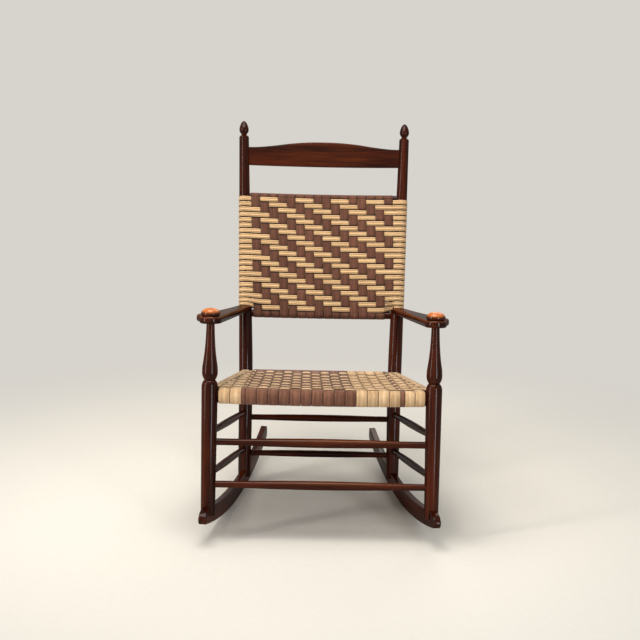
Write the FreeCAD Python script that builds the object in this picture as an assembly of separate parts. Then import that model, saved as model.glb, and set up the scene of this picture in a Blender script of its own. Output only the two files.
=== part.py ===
import FreeCAD
import Part
import math
import os
from FreeCAD import Placement, Rotation, Vector

# Armed rocking chair in dark stained hickory, with a seat and a back of two-colour woven tape.
# Lengths are millimetres and angles are degrees. The chair is laid out in the frame of its seat:
# x runs to the right as seen from the front, y runs backwards and z runs up along the front posts.
# z is 0 where the rockers enter the front posts. At the end the chair is leaned back to the angle
# at which it balances on its rockers, and stood on the ground with its middle over the origin.

# Skeleton
front_spread = 556.0
rear_spread = 420.0
finial_spread = 471.0
seat_depth = 425.0
bend_height = 292.0
bend_radius = 700.0
back_rake = 12.0

# Weights in grams per cubic centimetre, which set the angle at which the chair balances
wood_density = 0.6
tape_density = 0.3
balance_steps = 40

# Fits shared by every joint
joint_gap = 0.15
face_gap = 0.3
overrun = 5.0
tolerance = 0.01

# Front posts, turned with a vase above a groove, and a tenon through the arm
front_foot_radius = 17.8
front_post_radius = 20.3
groove_height = 319.0
groove_radius = 13.5
shoulder_length = 21.0
vase_belly_rise = 21.0
vase_belly_radius = 19.6
vase_neck_radius = 10.1
post_tenon_radius = 8.0
shoulder_shares = ((1.0, 0.0), (0.93, 0.42), (0.56, 0.78), (0.0, 1.0))
belly_shares = ((0.56, 0.28), (0.93, 0.64), (1.0, 1.0))
vase_shares = ((0.94, 0.10), (0.72, 0.22), (0.443, 0.385), (0.196, 0.62), (0.07, 0.82), (0.0, 1.0))

# Rear posts, bent back above the seat and topped by a turned acorn
rear_foot_radius = 17.8
rear_post_radius = 19.2
rear_shoulder_radius = 14.0
rear_shoulder_rise = 30.5
finial_neck_radius = 7.2
finial_shoulder_drop = 6.5
finial_neck_rise = 1.5
acorn_radius = 13.5
acorn_rise = 41.5
acorn_shares = ((0.78, 0.11), (0.98, 0.25), (0.99, 0.42), (0.82, 0.65), (0.46, 0.885), (0.0, 1.0))

# Rockers, let into slots in the feet of the posts
rocker_thickness = 19.0
rocker_depth = 41.0
rocker_tail_depth = 34.0
rocker_radius = 1384.0
rocker_low_point = 147.0
rocker_toe_reach = 62.0
rocker_tail_reach = 709.0
rocker_tail_bulge = 4.0
rocker_edge_width = 2.0
rocker_drop = 38.0
cheek_depth = 22.0
rocker_middle_share = 0.7
nose_shares = ((0.62, 0.09), (0.87, 0.28), (1.0, 0.55), (0.95, 0.78))
nose_heel_share = 0.9
peg_radius = 3.5
peg_setback = 0.8

# Arms, flat boards with a round front end and a flared ear behind it
arm_height = 458.5
arm_rear_rise = 10.0
arm_thickness = 18.0
arm_disc_radius = 27.6
arm_ear_reach = 49.5
arm_ear_place = 62.0
arm_tail_half_width = 16.5
arm_edge_width = 4.0
arm_end_setback = 10.0
arm_tenon_radius = 7.0
arm_tenon_depth = 4.5
arm_disc_turn = 62.0
ear_rise_shares = ((0.46, 0.56), (0.66, 0.80), (1.0, 1.0))
ear_fall_shares = ((0.14, 0.86), (0.36, 0.42), (0.66, 0.13))
cap_radius = 24.0
cap_height = 21.0
cap_socket_depth = 10.0
cap_shares = ((0.86, 0.0), (0.98, 0.13), (1.0, 0.34), (0.90, 0.62), (0.62, 0.86), (0.30, 0.97), (0.0, 1.0))

# Rungs, fattest in the middle, with round ends held in the posts
front_rung_heights = (59.0, 165.0)
rear_rung_heights = (69.0, 171.0)
side_rung_heights = (82.5, 186.0)
front_rung_end_radius = 8.5
front_rung_middle_radius = 11.5
small_rung_end_radius = 8.0
small_rung_middle_radius = 9.8
cross_rung_stop = 5.0
side_rung_stop = 10.0
rung_swell_shares = ((0.0, 0.0), (0.1, 0.0), (0.3, 0.68), (0.5, 1.0), (0.7, 0.68), (0.9, 0.0), (1.0, 0.0))

# Seat rails, ovals that carry the tape
seat_rail_width = 26.0
seat_rail_height = 34.0
front_rail_centre = 280.0
rear_rail_centre = 288.0
rail_tenon_radius = 8.0
rail_tenon_stop = 6.0
side_tenon_stop = 10.0

# Top slat and the two round rails of the back, all bowed away from the sitter
back_bow = 9.0
back_rail_radius = 10.5
back_tenon_radius = 8.0
back_bottom_drop = 15.9
back_height = 365.0
slat_gap = 83.0
slat_end_height = 53.0
slat_crest_rise = 21.0
slat_thickness = 9.0
slat_end_inset = 5.0
crest_shares = ((0.86, 0.07), (0.64, 0.36), (0.42, 0.73), (0.2, 0.95), (0.0, 1.0))
slat_pin_radius = 3.0
slat_pin_length = 20.0
slat_pin_inset = 8.5

# Tape: flat cotton webbing in loops, warps against the rails and wefts over them
tape_thickness = 1.2
seat_tape_gap = 0.6
seat_field_half_width = 190.0
seat_field_widths_share = (0.35,) + (1.0,) * 14 + (0.5,)
seat_beige_warps = range(11, 15)
filler_count = 2
filler_edge_gap = 3.0
seat_weft_count = 15
seat_weft_margin = 23.0
back_warp_count = 16
back_warp_width = 23.6
back_warp_pitch = 24.3
back_weft_count = 21
back_weft_pitch = 15.5
back_weft_width = 14.8
back_weft_margin = 31.8
pad_gap = 2.0

# Sizes worked out from the ones above
layer = tape_thickness + joint_gap
rake = math.radians(back_rake)
half_front = front_spread / 2
half_rear = rear_spread / 2
side_run = math.hypot(seat_depth, half_front - half_rear)
side_turn = math.degrees(math.atan2(half_front - half_rear, seat_depth))
arm_top = arm_height + arm_thickness
arm_tilt = math.atan2(arm_rear_rise, seat_depth)
arm_rear_height = arm_height + arm_rear_rise
back_bottom_height = (arm_rear_height - bend_height) / math.cos(rake) - back_bottom_drop
back_top_height = back_bottom_height + back_height
slat_bottom_height = back_top_height + slat_gap
rear_shoulder_height = slat_bottom_height + slat_end_height + rear_shoulder_rise
finial_top_height = rear_shoulder_height + finial_shoulder_drop + finial_neck_rise + acorn_rise
splay = math.atan2((finial_spread - rear_spread) / 2, finial_top_height)
chord_height = (back_bottom_height + back_top_height) / 2
half_chord = half_rear + chord_height * math.tan(splay)
bow_radius = (half_chord ** 2 + back_bow ** 2) / (2 * back_bow)
back_frame = Placement(Vector(0, seat_depth, bend_height), Rotation(Vector(1, 0, 0), -back_rake))


def placed(shape, placement):
    """Copy of a shape moved by a placement."""
    moved = shape.copy()
    moved.Placement = placement.multiply(moved.Placement)
    return moved


def solid_of(shape):
    """The one solid of a shape, the right way out."""
    solid = shape.Solids[0] if shape.Solids else Part.Solid(shape.Shells[0])
    if solid.Volume < 0:
        solid.reverse()
    return solid


def curve_through(points, start_tangent=None, end_tangent=None):
    """Smooth edge through points."""
    curve = Part.BSplineCurve()
    if start_tangent is None:
        curve.interpolate(Points=points)
    else:
        tangents = {"InitialTangent": start_tangent, "FinalTangent": end_tangent}
        curve.interpolate(Points=points, Scale=False, **tangents)
    return curve.toShape()


def straight_cut(start, end, drilled=False):
    """Straight edge of a turned profile.

    A taper is drawn as a spline, which keeps its facets few, but a drilled one needs a plain line for that.
    """
    if drilled or start.x == end.x or start.z == end.z:
        return Part.LineSegment(start, end).toShape()
    curve = Part.BSplineCurve()
    curve.interpolate(Points=[start, end])
    return curve.toShape()


def turned(profile, base=Vector(), direction=Vector(0, 0, 1), drilled=False):
    """Solid turned about an axis from (radius, height) points. Its first span may be drilled later."""
    points = [Vector(radius, 0, height) for radius, height in profile]
    points = [Vector(0, 0, points[0].z)] + points
    if points[-1].x > 0:
        points.append(Vector(0, 0, points[-1].z))
    edges = []
    for index, (start, end) in enumerate(zip(points, points[1:])):
        edges.append(straight_cut(start, end, drilled and index == 1))
    edges.append(Part.LineSegment(points[-1], points[0]).toShape())
    blank = Part.Face(Part.Wire(edges)).revolve(Vector(), Vector(0, 0, 1), 360)
    return placed(solid_of(blank), Placement(base, Rotation(Vector(0, 0, 1), direction)))


def round_bar(start, end, radius):
    """Plain round bar between two points."""
    along = end - start
    return Part.makeCylinder(radius, along.Length, start, along)


def toward(start, end, distance):
    """Point at a distance from start on the line to end."""
    return start + (end - start).normalize() * distance


# Where things lie on the posts


def side_point(side, depth, height):
    """Point above the line that joins the front and rear post axes on one side."""
    return Vector(side * (half_front - (half_front - half_rear) * depth / seat_depth), depth, height)


def rear_axis_direction(side):
    """Direction of the upper part of a rear post."""
    return back_frame.Rotation.multVec(Vector(side * math.tan(splay), 0, 1)).normalize()


def rear_axis_point(side, back_height):
    """Point on the upper axis of a rear post, at a height measured up the raked back."""
    return back_frame.multVec(Vector(side * (half_rear + back_height * math.tan(splay)), 0, back_height))


def rear_radius_at(back_height):
    """Radius of the upper part of a rear post, which tapers to its shoulder."""
    share = back_height / rear_shoulder_height
    return rear_post_radius + (rear_shoulder_radius - rear_post_radius) * share


def arm_post_point(side):
    """Where the middle plane of an arm meets the axis of the rear post."""
    rise = arm_rear_height + arm_thickness / 2 - bend_height
    return rear_axis_point(side, rise / math.cos(rake))


# Rockers


def rocker_base(along):
    """Height of the underside of a rocker, at a distance behind the front post."""
    centre = math.sqrt(rocker_radius ** 2 - rocker_low_point ** 2) - rocker_drop
    return centre - math.sqrt(rocker_radius ** 2 - (along - rocker_low_point) ** 2)


def rocker_blank(thickness, grow):
    """Rocker with square edges, in its own upright plane, and lifted by grow at its top."""
    top = rocker_depth + grow
    front = -front_foot_radius
    toe = -rocker_toe_reach * nose_heel_share
    middle = seat_depth * rocker_middle_share
    tail = rocker_tail_reach
    nose_top = rocker_base(front) + top
    nose = [Vector(front, 0, nose_top)]
    for reach, drop in nose_shares:
        nose.append(Vector(-rocker_toe_reach * reach, 0, nose_top - rocker_depth * drop))
    nose.append(Vector(toe, 0, rocker_base(toe)))
    low = Vector(middle, 0, rocker_base(middle))
    tail_low = Vector(tail, 0, rocker_base(tail))
    tail_high = Vector(tail, 0, rocker_base(tail) + rocker_tail_depth)
    tail_end = Vector(tail + rocker_tail_bulge, 0, rocker_base(tail) + rocker_tail_depth / 2)
    high = Vector(middle, 0, rocker_base(middle) + top)
    edges = [
        curve_through(nose),
        Part.Arc(nose[-1], low, tail_low).toShape(),
        Part.Arc(tail_low, tail_end, tail_high).toShape(),
        Part.Arc(tail_high, high, nose[0]).toShape(),
    ]
    face = Part.Face(Part.Wire(edges))
    face.translate(Vector(0, -thickness / 2, 0))
    return solid_of(face.extrude(Vector(0, thickness, 0)))


def rocker_frame(side):
    """Placement of a rocker's upright plane under the two posts of one side."""
    turn = 90 + side * side_turn
    return Placement(Vector(side * half_front, 0, 0), Rotation(Vector(0, 0, 1), turn))


def peg_places():
    """Distances along a rocker at which the posts are pegged, with the rocker's top there."""
    return [(along, rocker_base(along) + rocker_depth) for along in (0, side_run)]


def rocker_pegs(side, radius, beyond=0):
    """The two crosswise pegs that hold one rocker in the posts, or longer ones that cut their holes."""
    pegs = []
    reach = front_foot_radius - peg_setback + beyond
    for along, top in peg_places():
        height = top - cheek_depth / 2
        peg = round_bar(Vector(along, -reach, height), Vector(along, reach, height), radius)
        pegs.append(placed(peg, rocker_frame(side)))
    return pegs


def rocker(side):
    """One rocker with eased edges and its peg holes."""
    blank = rocker_blank(rocker_thickness, 0)
    long_edges = [edge for edge in blank.Edges if edge.BoundBox.YLength < tolerance]
    eased = solid_of(blank.makeChamfer(rocker_edge_width, long_edges))
    shape = placed(eased, rocker_frame(side))
    for hole in rocker_pegs(side, peg_radius + joint_gap, overrun):
        shape = shape.cut(hole)
    return solid_of(shape)


def slot_cutter(side):
    """Space that a rocker takes up in the feet of its posts."""
    blank = rocker_blank(rocker_thickness + 2 * joint_gap, joint_gap)
    return placed(blank, rocker_frame(side))


# Posts


def front_post(side):
    """Front post, turned in one piece from its slotted foot to the tenon under the cap."""
    foot = rocker_base(0) + rocker_depth - cheek_depth
    shoulder = groove_height - shoulder_length
    belly = groove_height + vase_belly_rise
    top = arm_top + cap_socket_depth
    neck = arm_height - vase_neck_radius * math.tan(arm_tilt)
    profile = [(front_foot_radius, foot)]
    for radius_share, rise_share in shoulder_shares:
        radius = groove_radius + (front_post_radius - groove_radius) * radius_share
        profile.append((radius, shoulder + shoulder_length * rise_share))
    for radius_share, rise_share in belly_shares:
        radius = groove_radius + (vase_belly_radius - groove_radius) * radius_share
        profile.append((radius, groove_height + vase_belly_rise * rise_share))
    for radius_share, rise_share in vase_shares:
        radius = vase_neck_radius + (vase_belly_radius - vase_neck_radius) * radius_share
        profile.append((radius, belly + (neck - belly) * rise_share))
    profile += [(post_tenon_radius, neck), (post_tenon_radius, top)]
    return turned(profile, side_point(side, 0, 0), drilled=True)


def rear_post_blank(side, grow):
    """Rear post before its joints are cut: a straight leg, a steam bend and a raked, turned top."""
    direction = rear_axis_direction(side)
    corner = Vector(side * half_rear, seat_depth, bend_height)
    upright = Vector(0, 0, 1)
    bend = direction.getAngle(upright)
    tangent = bend_radius * math.tan(bend / 2)
    start = corner - upright * tangent
    end = corner + direction * tangent
    inward = (direction - upright * direction.dot(upright)).normalize()
    centre = start + inward * bend_radius
    foot = rocker_base(side_run) + rocker_depth - cheek_depth
    foot_radius = rear_foot_radius + grow
    radius = rear_post_radius + grow
    leg = turned([(foot_radius, foot), (radius, start.z)], Vector(start.x, start.y, 0), drilled=True)
    disc = Part.Face(Part.Wire(Part.makeCircle(radius, start, upright)))
    knee = solid_of(disc.revolve(centre, upright.cross(inward), math.degrees(bend)))
    shoulder = rear_shoulder_height / math.cos(splay) - tangent
    neck = shoulder + finial_shoulder_drop + finial_neck_rise
    shoulder_radius = rear_shoulder_radius + grow
    neck_radius = finial_neck_radius + grow
    profile = [(radius, 0), (shoulder_radius, shoulder)]
    profile += [(neck_radius, shoulder + finial_shoulder_drop), (neck_radius, neck)]
    for radius_share, rise_share in acorn_shares:
        profile.append((acorn_radius * radius_share, neck + acorn_rise * rise_share))
    top = turned(profile, end, direction, True)
    return solid_of(leg.fuse([knee, top]).removeSplitter())


# Arms and caps


def arm_frame(side):
    """Placement of an arm: its length runs back from the front post and a little up, its width outwards."""
    reach = arm_post_point(side) - side_point(side, 0, arm_height)
    turn = Rotation(Vector(0, 0, 1), math.degrees(math.atan2(reach.y, reach.x)))
    tilt = Rotation(Vector(0, 1, 0), -math.degrees(arm_tilt))
    return Placement(side_point(side, 0, arm_height), turn.multiply(tilt))


def arm_outline(side):
    """Edges of the arm's plan: round front, flared ear, long taper to the rear post."""
    target = arm_post_point(side)
    length = math.hypot(target.x - side * half_front, target.y) - arm_end_setback
    out = -side
    turn = math.radians(arm_disc_turn)
    leave = Vector(arm_disc_radius * math.cos(turn), out * arm_disc_radius * math.sin(turn), 0)
    inner = Vector(0, -out * arm_disc_radius, 0)
    front = Vector(-arm_disc_radius, 0, 0)
    outer = [leave]
    for place, reach in ear_rise_shares:
        outer.append(Vector(arm_ear_place * place, out * arm_ear_reach * reach, 0))
    for place, reach in ear_fall_shares:
        along = arm_ear_place + (length - arm_ear_place) * place
        width = arm_tail_half_width + (arm_ear_reach - arm_tail_half_width) * reach
        outer.append(Vector(along, out * width, 0))
    outer.append(Vector(length, out * arm_tail_half_width, 0))
    tail = Vector(length, -out * arm_tail_half_width, 0)
    leaving = Vector(math.sin(turn), -out * math.cos(turn), 0)
    taper = (outer[-1] - outer[-2]).normalize()
    return [
        Part.Arc(inner, front, leave).toShape(),
        curve_through(outer, leaving, taper),
        Part.LineSegment(outer[-1], tail).toShape(),
        Part.LineSegment(tail, inner).toShape(),
    ]


def arm_board(side):
    """Arm with eased edges, before it is fitted to the posts."""
    board = solid_of(Part.Face(Part.Wire(arm_outline(side))).extrude(Vector(0, 0, arm_thickness)))
    length = board.BoundBox.XMax
    rims = []
    for edge in board.Edges:
        box = edge.BoundBox
        if box.ZLength < tolerance and box.XMin < length - tolerance:
            rims.append(edge)
    return placed(solid_of(board.makeChamfer(arm_edge_width, rims)), arm_frame(side))


def arm_tenon(side, grow):
    """Short round tenon at the arm's rear end."""
    target = arm_post_point(side)
    start = side_point(side, 0, arm_height + arm_thickness / 2)
    run = (target - start).Length
    radius = rear_radius_at(target.z - bend_height)
    tip = toward(start, target, run - radius + arm_tenon_depth + grow)
    return round_bar(toward(start, target, run - radius - arm_end_setback), tip, arm_tenon_radius + grow)


def arm(side, post_space):
    """Arm let over the front post's tenon and coped round the raked rear post."""
    shape = arm_board(side).cut(post_space)
    shape = max(shape.Solids, key=lambda solid: solid.Volume)
    shape = shape.fuse(arm_tenon(side, 0))
    low = side_point(side, 0, arm_height - overrun)
    high = side_point(side, 0, arm_top + overrun)
    return solid_of(shape.cut(round_bar(low, high, post_tenon_radius + joint_gap)))


def mushroom_cap(side):
    """Domed cap glued on the tenon above the arm."""
    dome = [(cap_radius * radius, arm_thickness + cap_height * rise) for radius, rise in cap_shares]
    blank = placed(turned(dome, Vector(0, 0, 0)), arm_frame(side))
    low = side_point(side, 0, arm_top - overrun)
    high = side_point(side, 0, arm_top + cap_socket_depth + joint_gap)
    return solid_of(blank.cut(round_bar(low, high, post_tenon_radius + joint_gap)))


# Rungs and rails


def rung(start, end, stop, end_radius, middle_radius, grow=0):
    """Rung between two post axes, which it stops short of, swelling smoothly to its middle."""
    first = toward(start, end, stop)
    length = (end - start).Length - 2 * stop
    swell = middle_radius - end_radius
    radius = end_radius + grow
    profile = [(radius + swell * share, length * place) for place, share in rung_swell_shares]
    return turned(profile, first, end - start)


def rung_line(kind, index):
    """Ends of a rung on the post axes, with its stop and its radii."""
    if kind == "front":
        height = front_rung_heights[index]
        ends = side_point(-1, 0, height), side_point(1, 0, height)
        return ends + (cross_rung_stop, front_rung_end_radius, front_rung_middle_radius)
    if kind == "rear":
        height = rear_rung_heights[index]
        ends = side_point(-1, seat_depth, height), side_point(1, seat_depth, height)
        return ends + (cross_rung_stop, small_rung_end_radius, small_rung_middle_radius)
    side = -1 if kind == "left" else 1
    height = side_rung_heights[index]
    ends = side_point(side, 0, height), side_point(side, seat_depth, height)
    return ends + (side_rung_stop, small_rung_end_radius, small_rung_middle_radius)


def oval(centre, across, half_width, half_height):
    """Closed oval wire, upright, in the plane of its centre, the across direction and z."""
    tall = half_height > half_width
    long_end = centre + (Vector(0, 0, half_height) if tall else across * half_width)
    short_end = centre + (across * half_width if tall else Vector(0, 0, half_height))
    return Part.Wire(Part.Ellipse(long_end, short_end, centre).toShape())


def seat_rail(start, end, inset, stop, half_height, grow=0):
    """Oval seat rail between two post axes, with a round tenon at each end."""
    along = (end - start).normalize()
    across = Vector(0, 0, 1).cross(along).normalize()
    length = (end - start).Length
    face = Part.Face(oval(toward(start, end, inset), across, seat_rail_width / 2, half_height))
    body = solid_of(face.extrude(along * (length - 2 * inset)))
    tenon = round_bar(toward(start, end, stop), toward(end, start, stop), rail_tenon_radius + grow)
    return tenon if grow else solid_of(body.fuse(tenon))


def side_rail_line(side):
    """Ends of a side rail on the post axes, and the insets and stops that suit it."""
    front = side_point(side, 0, front_rail_centre)
    rear = side_point(side, seat_depth, rear_rail_centre)
    return front, rear, front_post_radius + face_gap, side_tenon_stop, seat_rail_height / 2 + layer


def cross_rail_line(depth, height, post_radius):
    """Ends of the front or rear rail on the post axes, with its insets and stops."""
    left = side_point(-1, depth, height)
    right = side_point(1, depth, height)
    return left, right, post_radius + face_gap, rail_tenon_stop, seat_rail_height / 2


# Back: everything here is laid out on the raked plane of the posts and then put in place


def bow_point(across, height):
    """Point of the bowed line of the back, at a distance from its middle."""
    return Vector(across, back_bow - bow_radius + math.sqrt(bow_radius ** 2 - across ** 2), height)


def back_rail_tenon(side, height, grow=0):
    """Straight round tenon at one end of a back rail, which starts inside the rail."""
    axis = half_rear + height * math.tan(splay)
    start = bow_point(side * (axis - rear_radius_at(height) - overrun), height)
    end = bow_point(side * (axis - rail_tenon_stop), height)
    return placed(round_bar(start, end, back_tenon_radius + grow), back_frame)


def bowed_rail(height):
    """Round rail of the back, bowed along an arc, with a tenon at each end."""
    centre = Vector(0, back_bow - bow_radius, height)
    reach = half_rear + height * math.tan(splay) - rear_radius_at(height) - face_gap
    angle = math.degrees(math.asin(reach / bow_radius))
    section = Part.makeCircle(back_rail_radius, Vector(0, back_bow, height), Vector(1, 0, 0))
    ring = Part.Face(Part.Wire(section))
    ring.rotate(centre, Vector(0, 0, 1), -angle)
    body = placed(solid_of(ring.revolve(centre, Vector(0, 0, 1), 2 * angle)), back_frame)
    return solid_of(body.fuse([back_rail_tenon(-1, height), back_rail_tenon(1, height)]))


def bowed_shell(thickness, low, high):
    """Curved wall of even thickness that follows the bow of the back."""
    middle = Vector(0, back_bow - bow_radius, low)
    outer = Part.makeCylinder(bow_radius + thickness / 2, high - low, middle)
    return outer.cut(Part.makeCylinder(bow_radius - thickness / 2, high - low, middle))


def slat_outline(half_length, low, grow):
    """Face of the slat's outline: straight below, with a low crest above."""
    high = low + slat_end_height + 2 * grow
    crest = [(1.0, 0.0)] + list(crest_shares)
    right = [Vector(half_length * across, 0, high + slat_crest_rise * rise) for across, rise in crest]
    left = [Vector(-point.x, 0, point.z) for point in reversed(right[:-1])]
    points = right + left
    low_left = Vector(-half_length, 0, low)
    low_right = Vector(half_length, 0, low)
    level = Vector(-1, 0, 0)
    edges = [
        Part.LineSegment(low_right, points[0]).toShape(),
        curve_through(points, level, level),
        Part.LineSegment(points[-1], low_left).toShape(),
        Part.LineSegment(low_left, low_right).toShape(),
    ]
    return Part.Face(Part.Wire(edges))


def top_slat(grow=0):
    """Bowed slat between the tops of the rear posts."""
    low = slat_bottom_height - grow
    shape = slat_outline(half_rear + low * math.tan(splay) - slat_end_inset, low, grow)
    shape.translate(Vector(0, -half_chord, 0))
    block = shape.extrude(Vector(0, 2 * half_chord, 0))
    high = low + slat_end_height + slat_crest_rise + overrun
    shell = bowed_shell(slat_thickness + 2 * grow, low - overrun, high)
    return placed(solid_of(block.common(shell)), back_frame)


def slat_pin(side, radius):
    """Pin driven from behind through the rear post and the end of the slat."""
    height = slat_bottom_height + slat_end_height / 2
    across = side * (half_rear + height * math.tan(splay) - slat_pin_inset)
    depth = math.sqrt(rear_radius_at(height) ** 2 - slat_pin_inset ** 2)
    start = back_frame.multVec(Vector(across, depth, height))
    end = back_frame.multVec(Vector(across, depth - slat_pin_length, height))
    return round_bar(start, end, radius)


# Tape


def bevelled_turn(centre, up, out):
    """Corners of a half turn round an oval, in four flats that touch the oval from outside."""
    bevel = math.tan(math.pi / 8)
    return [
        centre + up + out * bevel,
        centre + out + up * bevel,
        centre + out - up * bevel,
        centre - up + out * bevel,
    ]


def loop_wire(corners):
    """Closed wire through the corners of a loop of tape."""
    return Part.makePolygon(corners + corners[:1])


def loop_ring(first, second, half_width, half_height, inner, thickness):
    """Face between two racetracks round a pair of ovals that lie along +x of their own plane."""
    faces = []
    for grow in (inner + thickness, inner):
        out = Vector(half_width + grow, 0, 0)
        rise = Vector(0, 0, half_height + grow)
        corners = bevelled_turn(first, rise, out * -1)
        corners += bevelled_turn(second, rise * -1, out)
        faces.append(Part.Face(loop_wire(corners)))
    return faces[0].cut(faces[1]).Faces[0]


def seat_warp(low, high):
    """One warp loop round the front and rear rails, from one x to another."""
    front = Vector(0, 0, front_rail_centre)
    rear = Vector(seat_depth, 0, rear_rail_centre)
    ring = loop_ring(front, rear, seat_rail_width / 2, seat_rail_height / 2, joint_gap, tape_thickness)
    ring.rotate(Vector(), Vector(0, 0, 1), 90)
    ring.translate(Vector(low, 0, 0))
    return solid_of(ring.extrude(Vector(high - low, 0, 0)))


def seat_field_places():
    """Edges of the warps that run the whole depth of the seat, from left to right."""
    unit_width = 2 * seat_field_half_width / sum(seat_field_widths_share)
    places = []
    left = -seat_field_half_width
    for share in seat_field_widths_share:
        right = left + unit_width * share
        places.append((left + seat_tape_gap / 2, right - seat_tape_gap / 2))
        left = right
    return places


def seat_fillers(side):
    """Short tapes in one front corner, from the front rail back to the side rail."""
    outer = half_front - front_post_radius - filler_edge_gap
    width = (outer - seat_field_half_width) / filler_count
    half = seat_rail_width / 2 + face_gap
    zone_front = side_point(side, -seat_depth, 0) - Vector(side * half, 0, 0)
    zone_rear = side_point(side, 2 * seat_depth, 0) - Vector(side * half, 0, 0)
    away = Vector(side * front_spread, 0, 0)
    zone = Part.makePolygon([zone_front, zone_rear, zone_rear + away, zone_front + away, zone_front])
    block = Part.Face(zone).extrude(Vector(0, 0, arm_height))
    keep_front = Part.makeBox(front_spread, seat_rail_width, arm_height)
    keep_front.translate(Vector(-half_front, -seat_rail_width, 0))
    block = block.cut(keep_front)
    fillers = []
    for index in range(filler_count):
        near = seat_field_half_width + width * index + seat_tape_gap / 2
        far = near + width - seat_tape_gap
        ends = sorted((side * near, side * far))
        pieces = seat_warp(ends[0], ends[1]).cut(block)
        fillers.append(min(pieces.Solids, key=lambda solid: solid.BoundBox.YMin))
    return fillers


def seat_weft_wire(depth, grow):
    """Outline of a loop round both side rails at one depth of the seat."""
    rise = front_rail_centre + (rear_rail_centre - front_rail_centre) * depth / seat_depth
    out = Vector(seat_rail_width / 2 + grow, 0, 0)
    tall = Vector(0, 0, seat_rail_height / 2 + layer + grow)
    corners = bevelled_turn(side_point(-1, depth, rise), tall, out * -1)
    corners += bevelled_turn(side_point(1, depth, rise), tall * -1, out)
    return loop_wire(corners)


def seat_weft(front, rear):
    """One weft loop round the side rails, between two depths of the seat."""
    inner = joint_gap * 2
    skin = []
    for grow in (inner + tape_thickness, inner):
        wires = [seat_weft_wire(front, grow), seat_weft_wire(rear, grow)]
        skin.append(solid_of(Part.makeLoft(wires, True, True)))
    return solid_of(skin[0].cut(skin[1]))


def seat_wefts():
    """All the weft loops of the seat."""
    clear = seat_depth - 2 * seat_weft_margin
    pitch = clear / seat_weft_count
    bands = []
    for index in range(seat_weft_count):
        front = seat_weft_margin + pitch * index + seat_tape_gap / 2
        bands.append(seat_weft(front, front + pitch - seat_tape_gap))
    return bands


def back_warps():
    """Warp loops round the top and bottom rails of the back."""
    low = Vector(back_bottom_height + layer + back_rail_radius, 0, back_bow)
    high = Vector(back_top_height - layer - back_rail_radius, 0, back_bow)
    ring = loop_ring(low, high, back_rail_radius, back_rail_radius, joint_gap, tape_thickness)
    ring.rotate(Vector(), Vector(0, 1, 0), -90)
    ring.rotate(Vector(), Vector(0, 0, 1), -90)
    centre = Vector(0, back_bow - bow_radius, 0)
    width = math.degrees(back_warp_width / bow_radius)
    pitch = math.degrees(back_warp_pitch / bow_radius)
    bands = []
    for index in range(back_warp_count):
        middle = (index - (back_warp_count - 1) / 2) * pitch
        start = ring.copy()
        start.rotate(centre, Vector(0, 0, 1), middle - width / 2)
        band = solid_of(start.revolve(centre, Vector(0, 0, 1), width))
        bands.append(placed(band, back_frame))
    return bands


def back_weft_wire(height, grow):
    """Plan of a weft loop: round both posts, and bowed in front of and behind the warps."""
    across = half_rear + height * math.tan(splay)
    radius = rear_radius_at(height) + face_gap + grow
    layers = back_rail_radius + layer + joint_gap + grow
    ahead = Vector(0, -radius, 0)
    right = bevelled_turn(Vector(across, 0, height), ahead, Vector(radius, 0, 0))
    left = bevelled_turn(Vector(-across, 0, height), ahead * -1, Vector(-radius, 0, 0))
    front_right = Vector(across, -radius, height)
    rear_right = Vector(across, radius, height)
    rear_left = Vector(-across, radius, height)
    front_left = Vector(-across, -radius, height)
    return Part.Wire([
        Part.Arc(front_left, Vector(0, back_bow - layers, height), front_right).toShape(),
        Part.makePolygon([front_right] + right + [rear_right]),
        Part.Arc(rear_right, Vector(0, back_bow + layers, height), rear_left).toShape(),
        Part.makePolygon([rear_left] + left + [front_left]),
    ])


def back_wefts():
    """Weft loops wound round the rear posts."""
    bands = []
    for index in range(back_weft_count):
        low = back_bottom_height + back_weft_margin + back_weft_pitch * index
        middle = low + back_weft_width / 2
        outer = Part.Face(back_weft_wire(middle, tape_thickness))
        ring = outer.cut(Part.Face(back_weft_wire(middle, 0)))
        ring.translate(Vector(0, 0, low - middle))
        bands.append(placed(solid_of(ring.extrude(Vector(0, 0, back_weft_width))), back_frame))
    return bands


# Padding between the two faces of the tape


def seat_padding():
    """Flat pad that fills the seat between its four rails."""
    half_rail = seat_rail_width / 2 + pad_gap
    front = half_rail
    rear = seat_depth - half_rail
    outline = []
    for side, depth in ((-1, front), (1, front), (1, rear), (-1, rear), (-1, front)):
        outline.append(side_point(side, depth, 0) - Vector(side * half_rail, 0, 0))
    block = Part.Face(Part.makePolygon(outline)).extrude(Vector(0, 0, arm_height))
    half = seat_rail_height / 2
    section = [
        Vector(-front_spread, 0, front_rail_centre - half),
        Vector(-front_spread, seat_depth, rear_rail_centre - half),
        Vector(-front_spread, seat_depth, rear_rail_centre + half),
        Vector(-front_spread, 0, front_rail_centre + half),
    ]
    section.append(section[0])
    slab = Part.Face(Part.makePolygon(section)).extrude(Vector(2 * front_spread, 0, 0))
    return solid_of(block.common(slab))


def back_padding():
    """Bowed pad between the rails of the back and clear of the posts."""
    low = back_bottom_height + layer + 2 * back_rail_radius + pad_gap
    high = back_top_height - layer - 2 * back_rail_radius - pad_gap
    half = (back_warp_count * back_warp_pitch) / 2
    deep = 2 * back_bow + 2 * back_rail_radius
    box = Part.makeBox(2 * half, 2 * deep, high - low, Vector(-half, -deep, low))
    return placed(solid_of(box.common(bowed_shell(2 * back_rail_radius, low, high))), back_frame)


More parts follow.
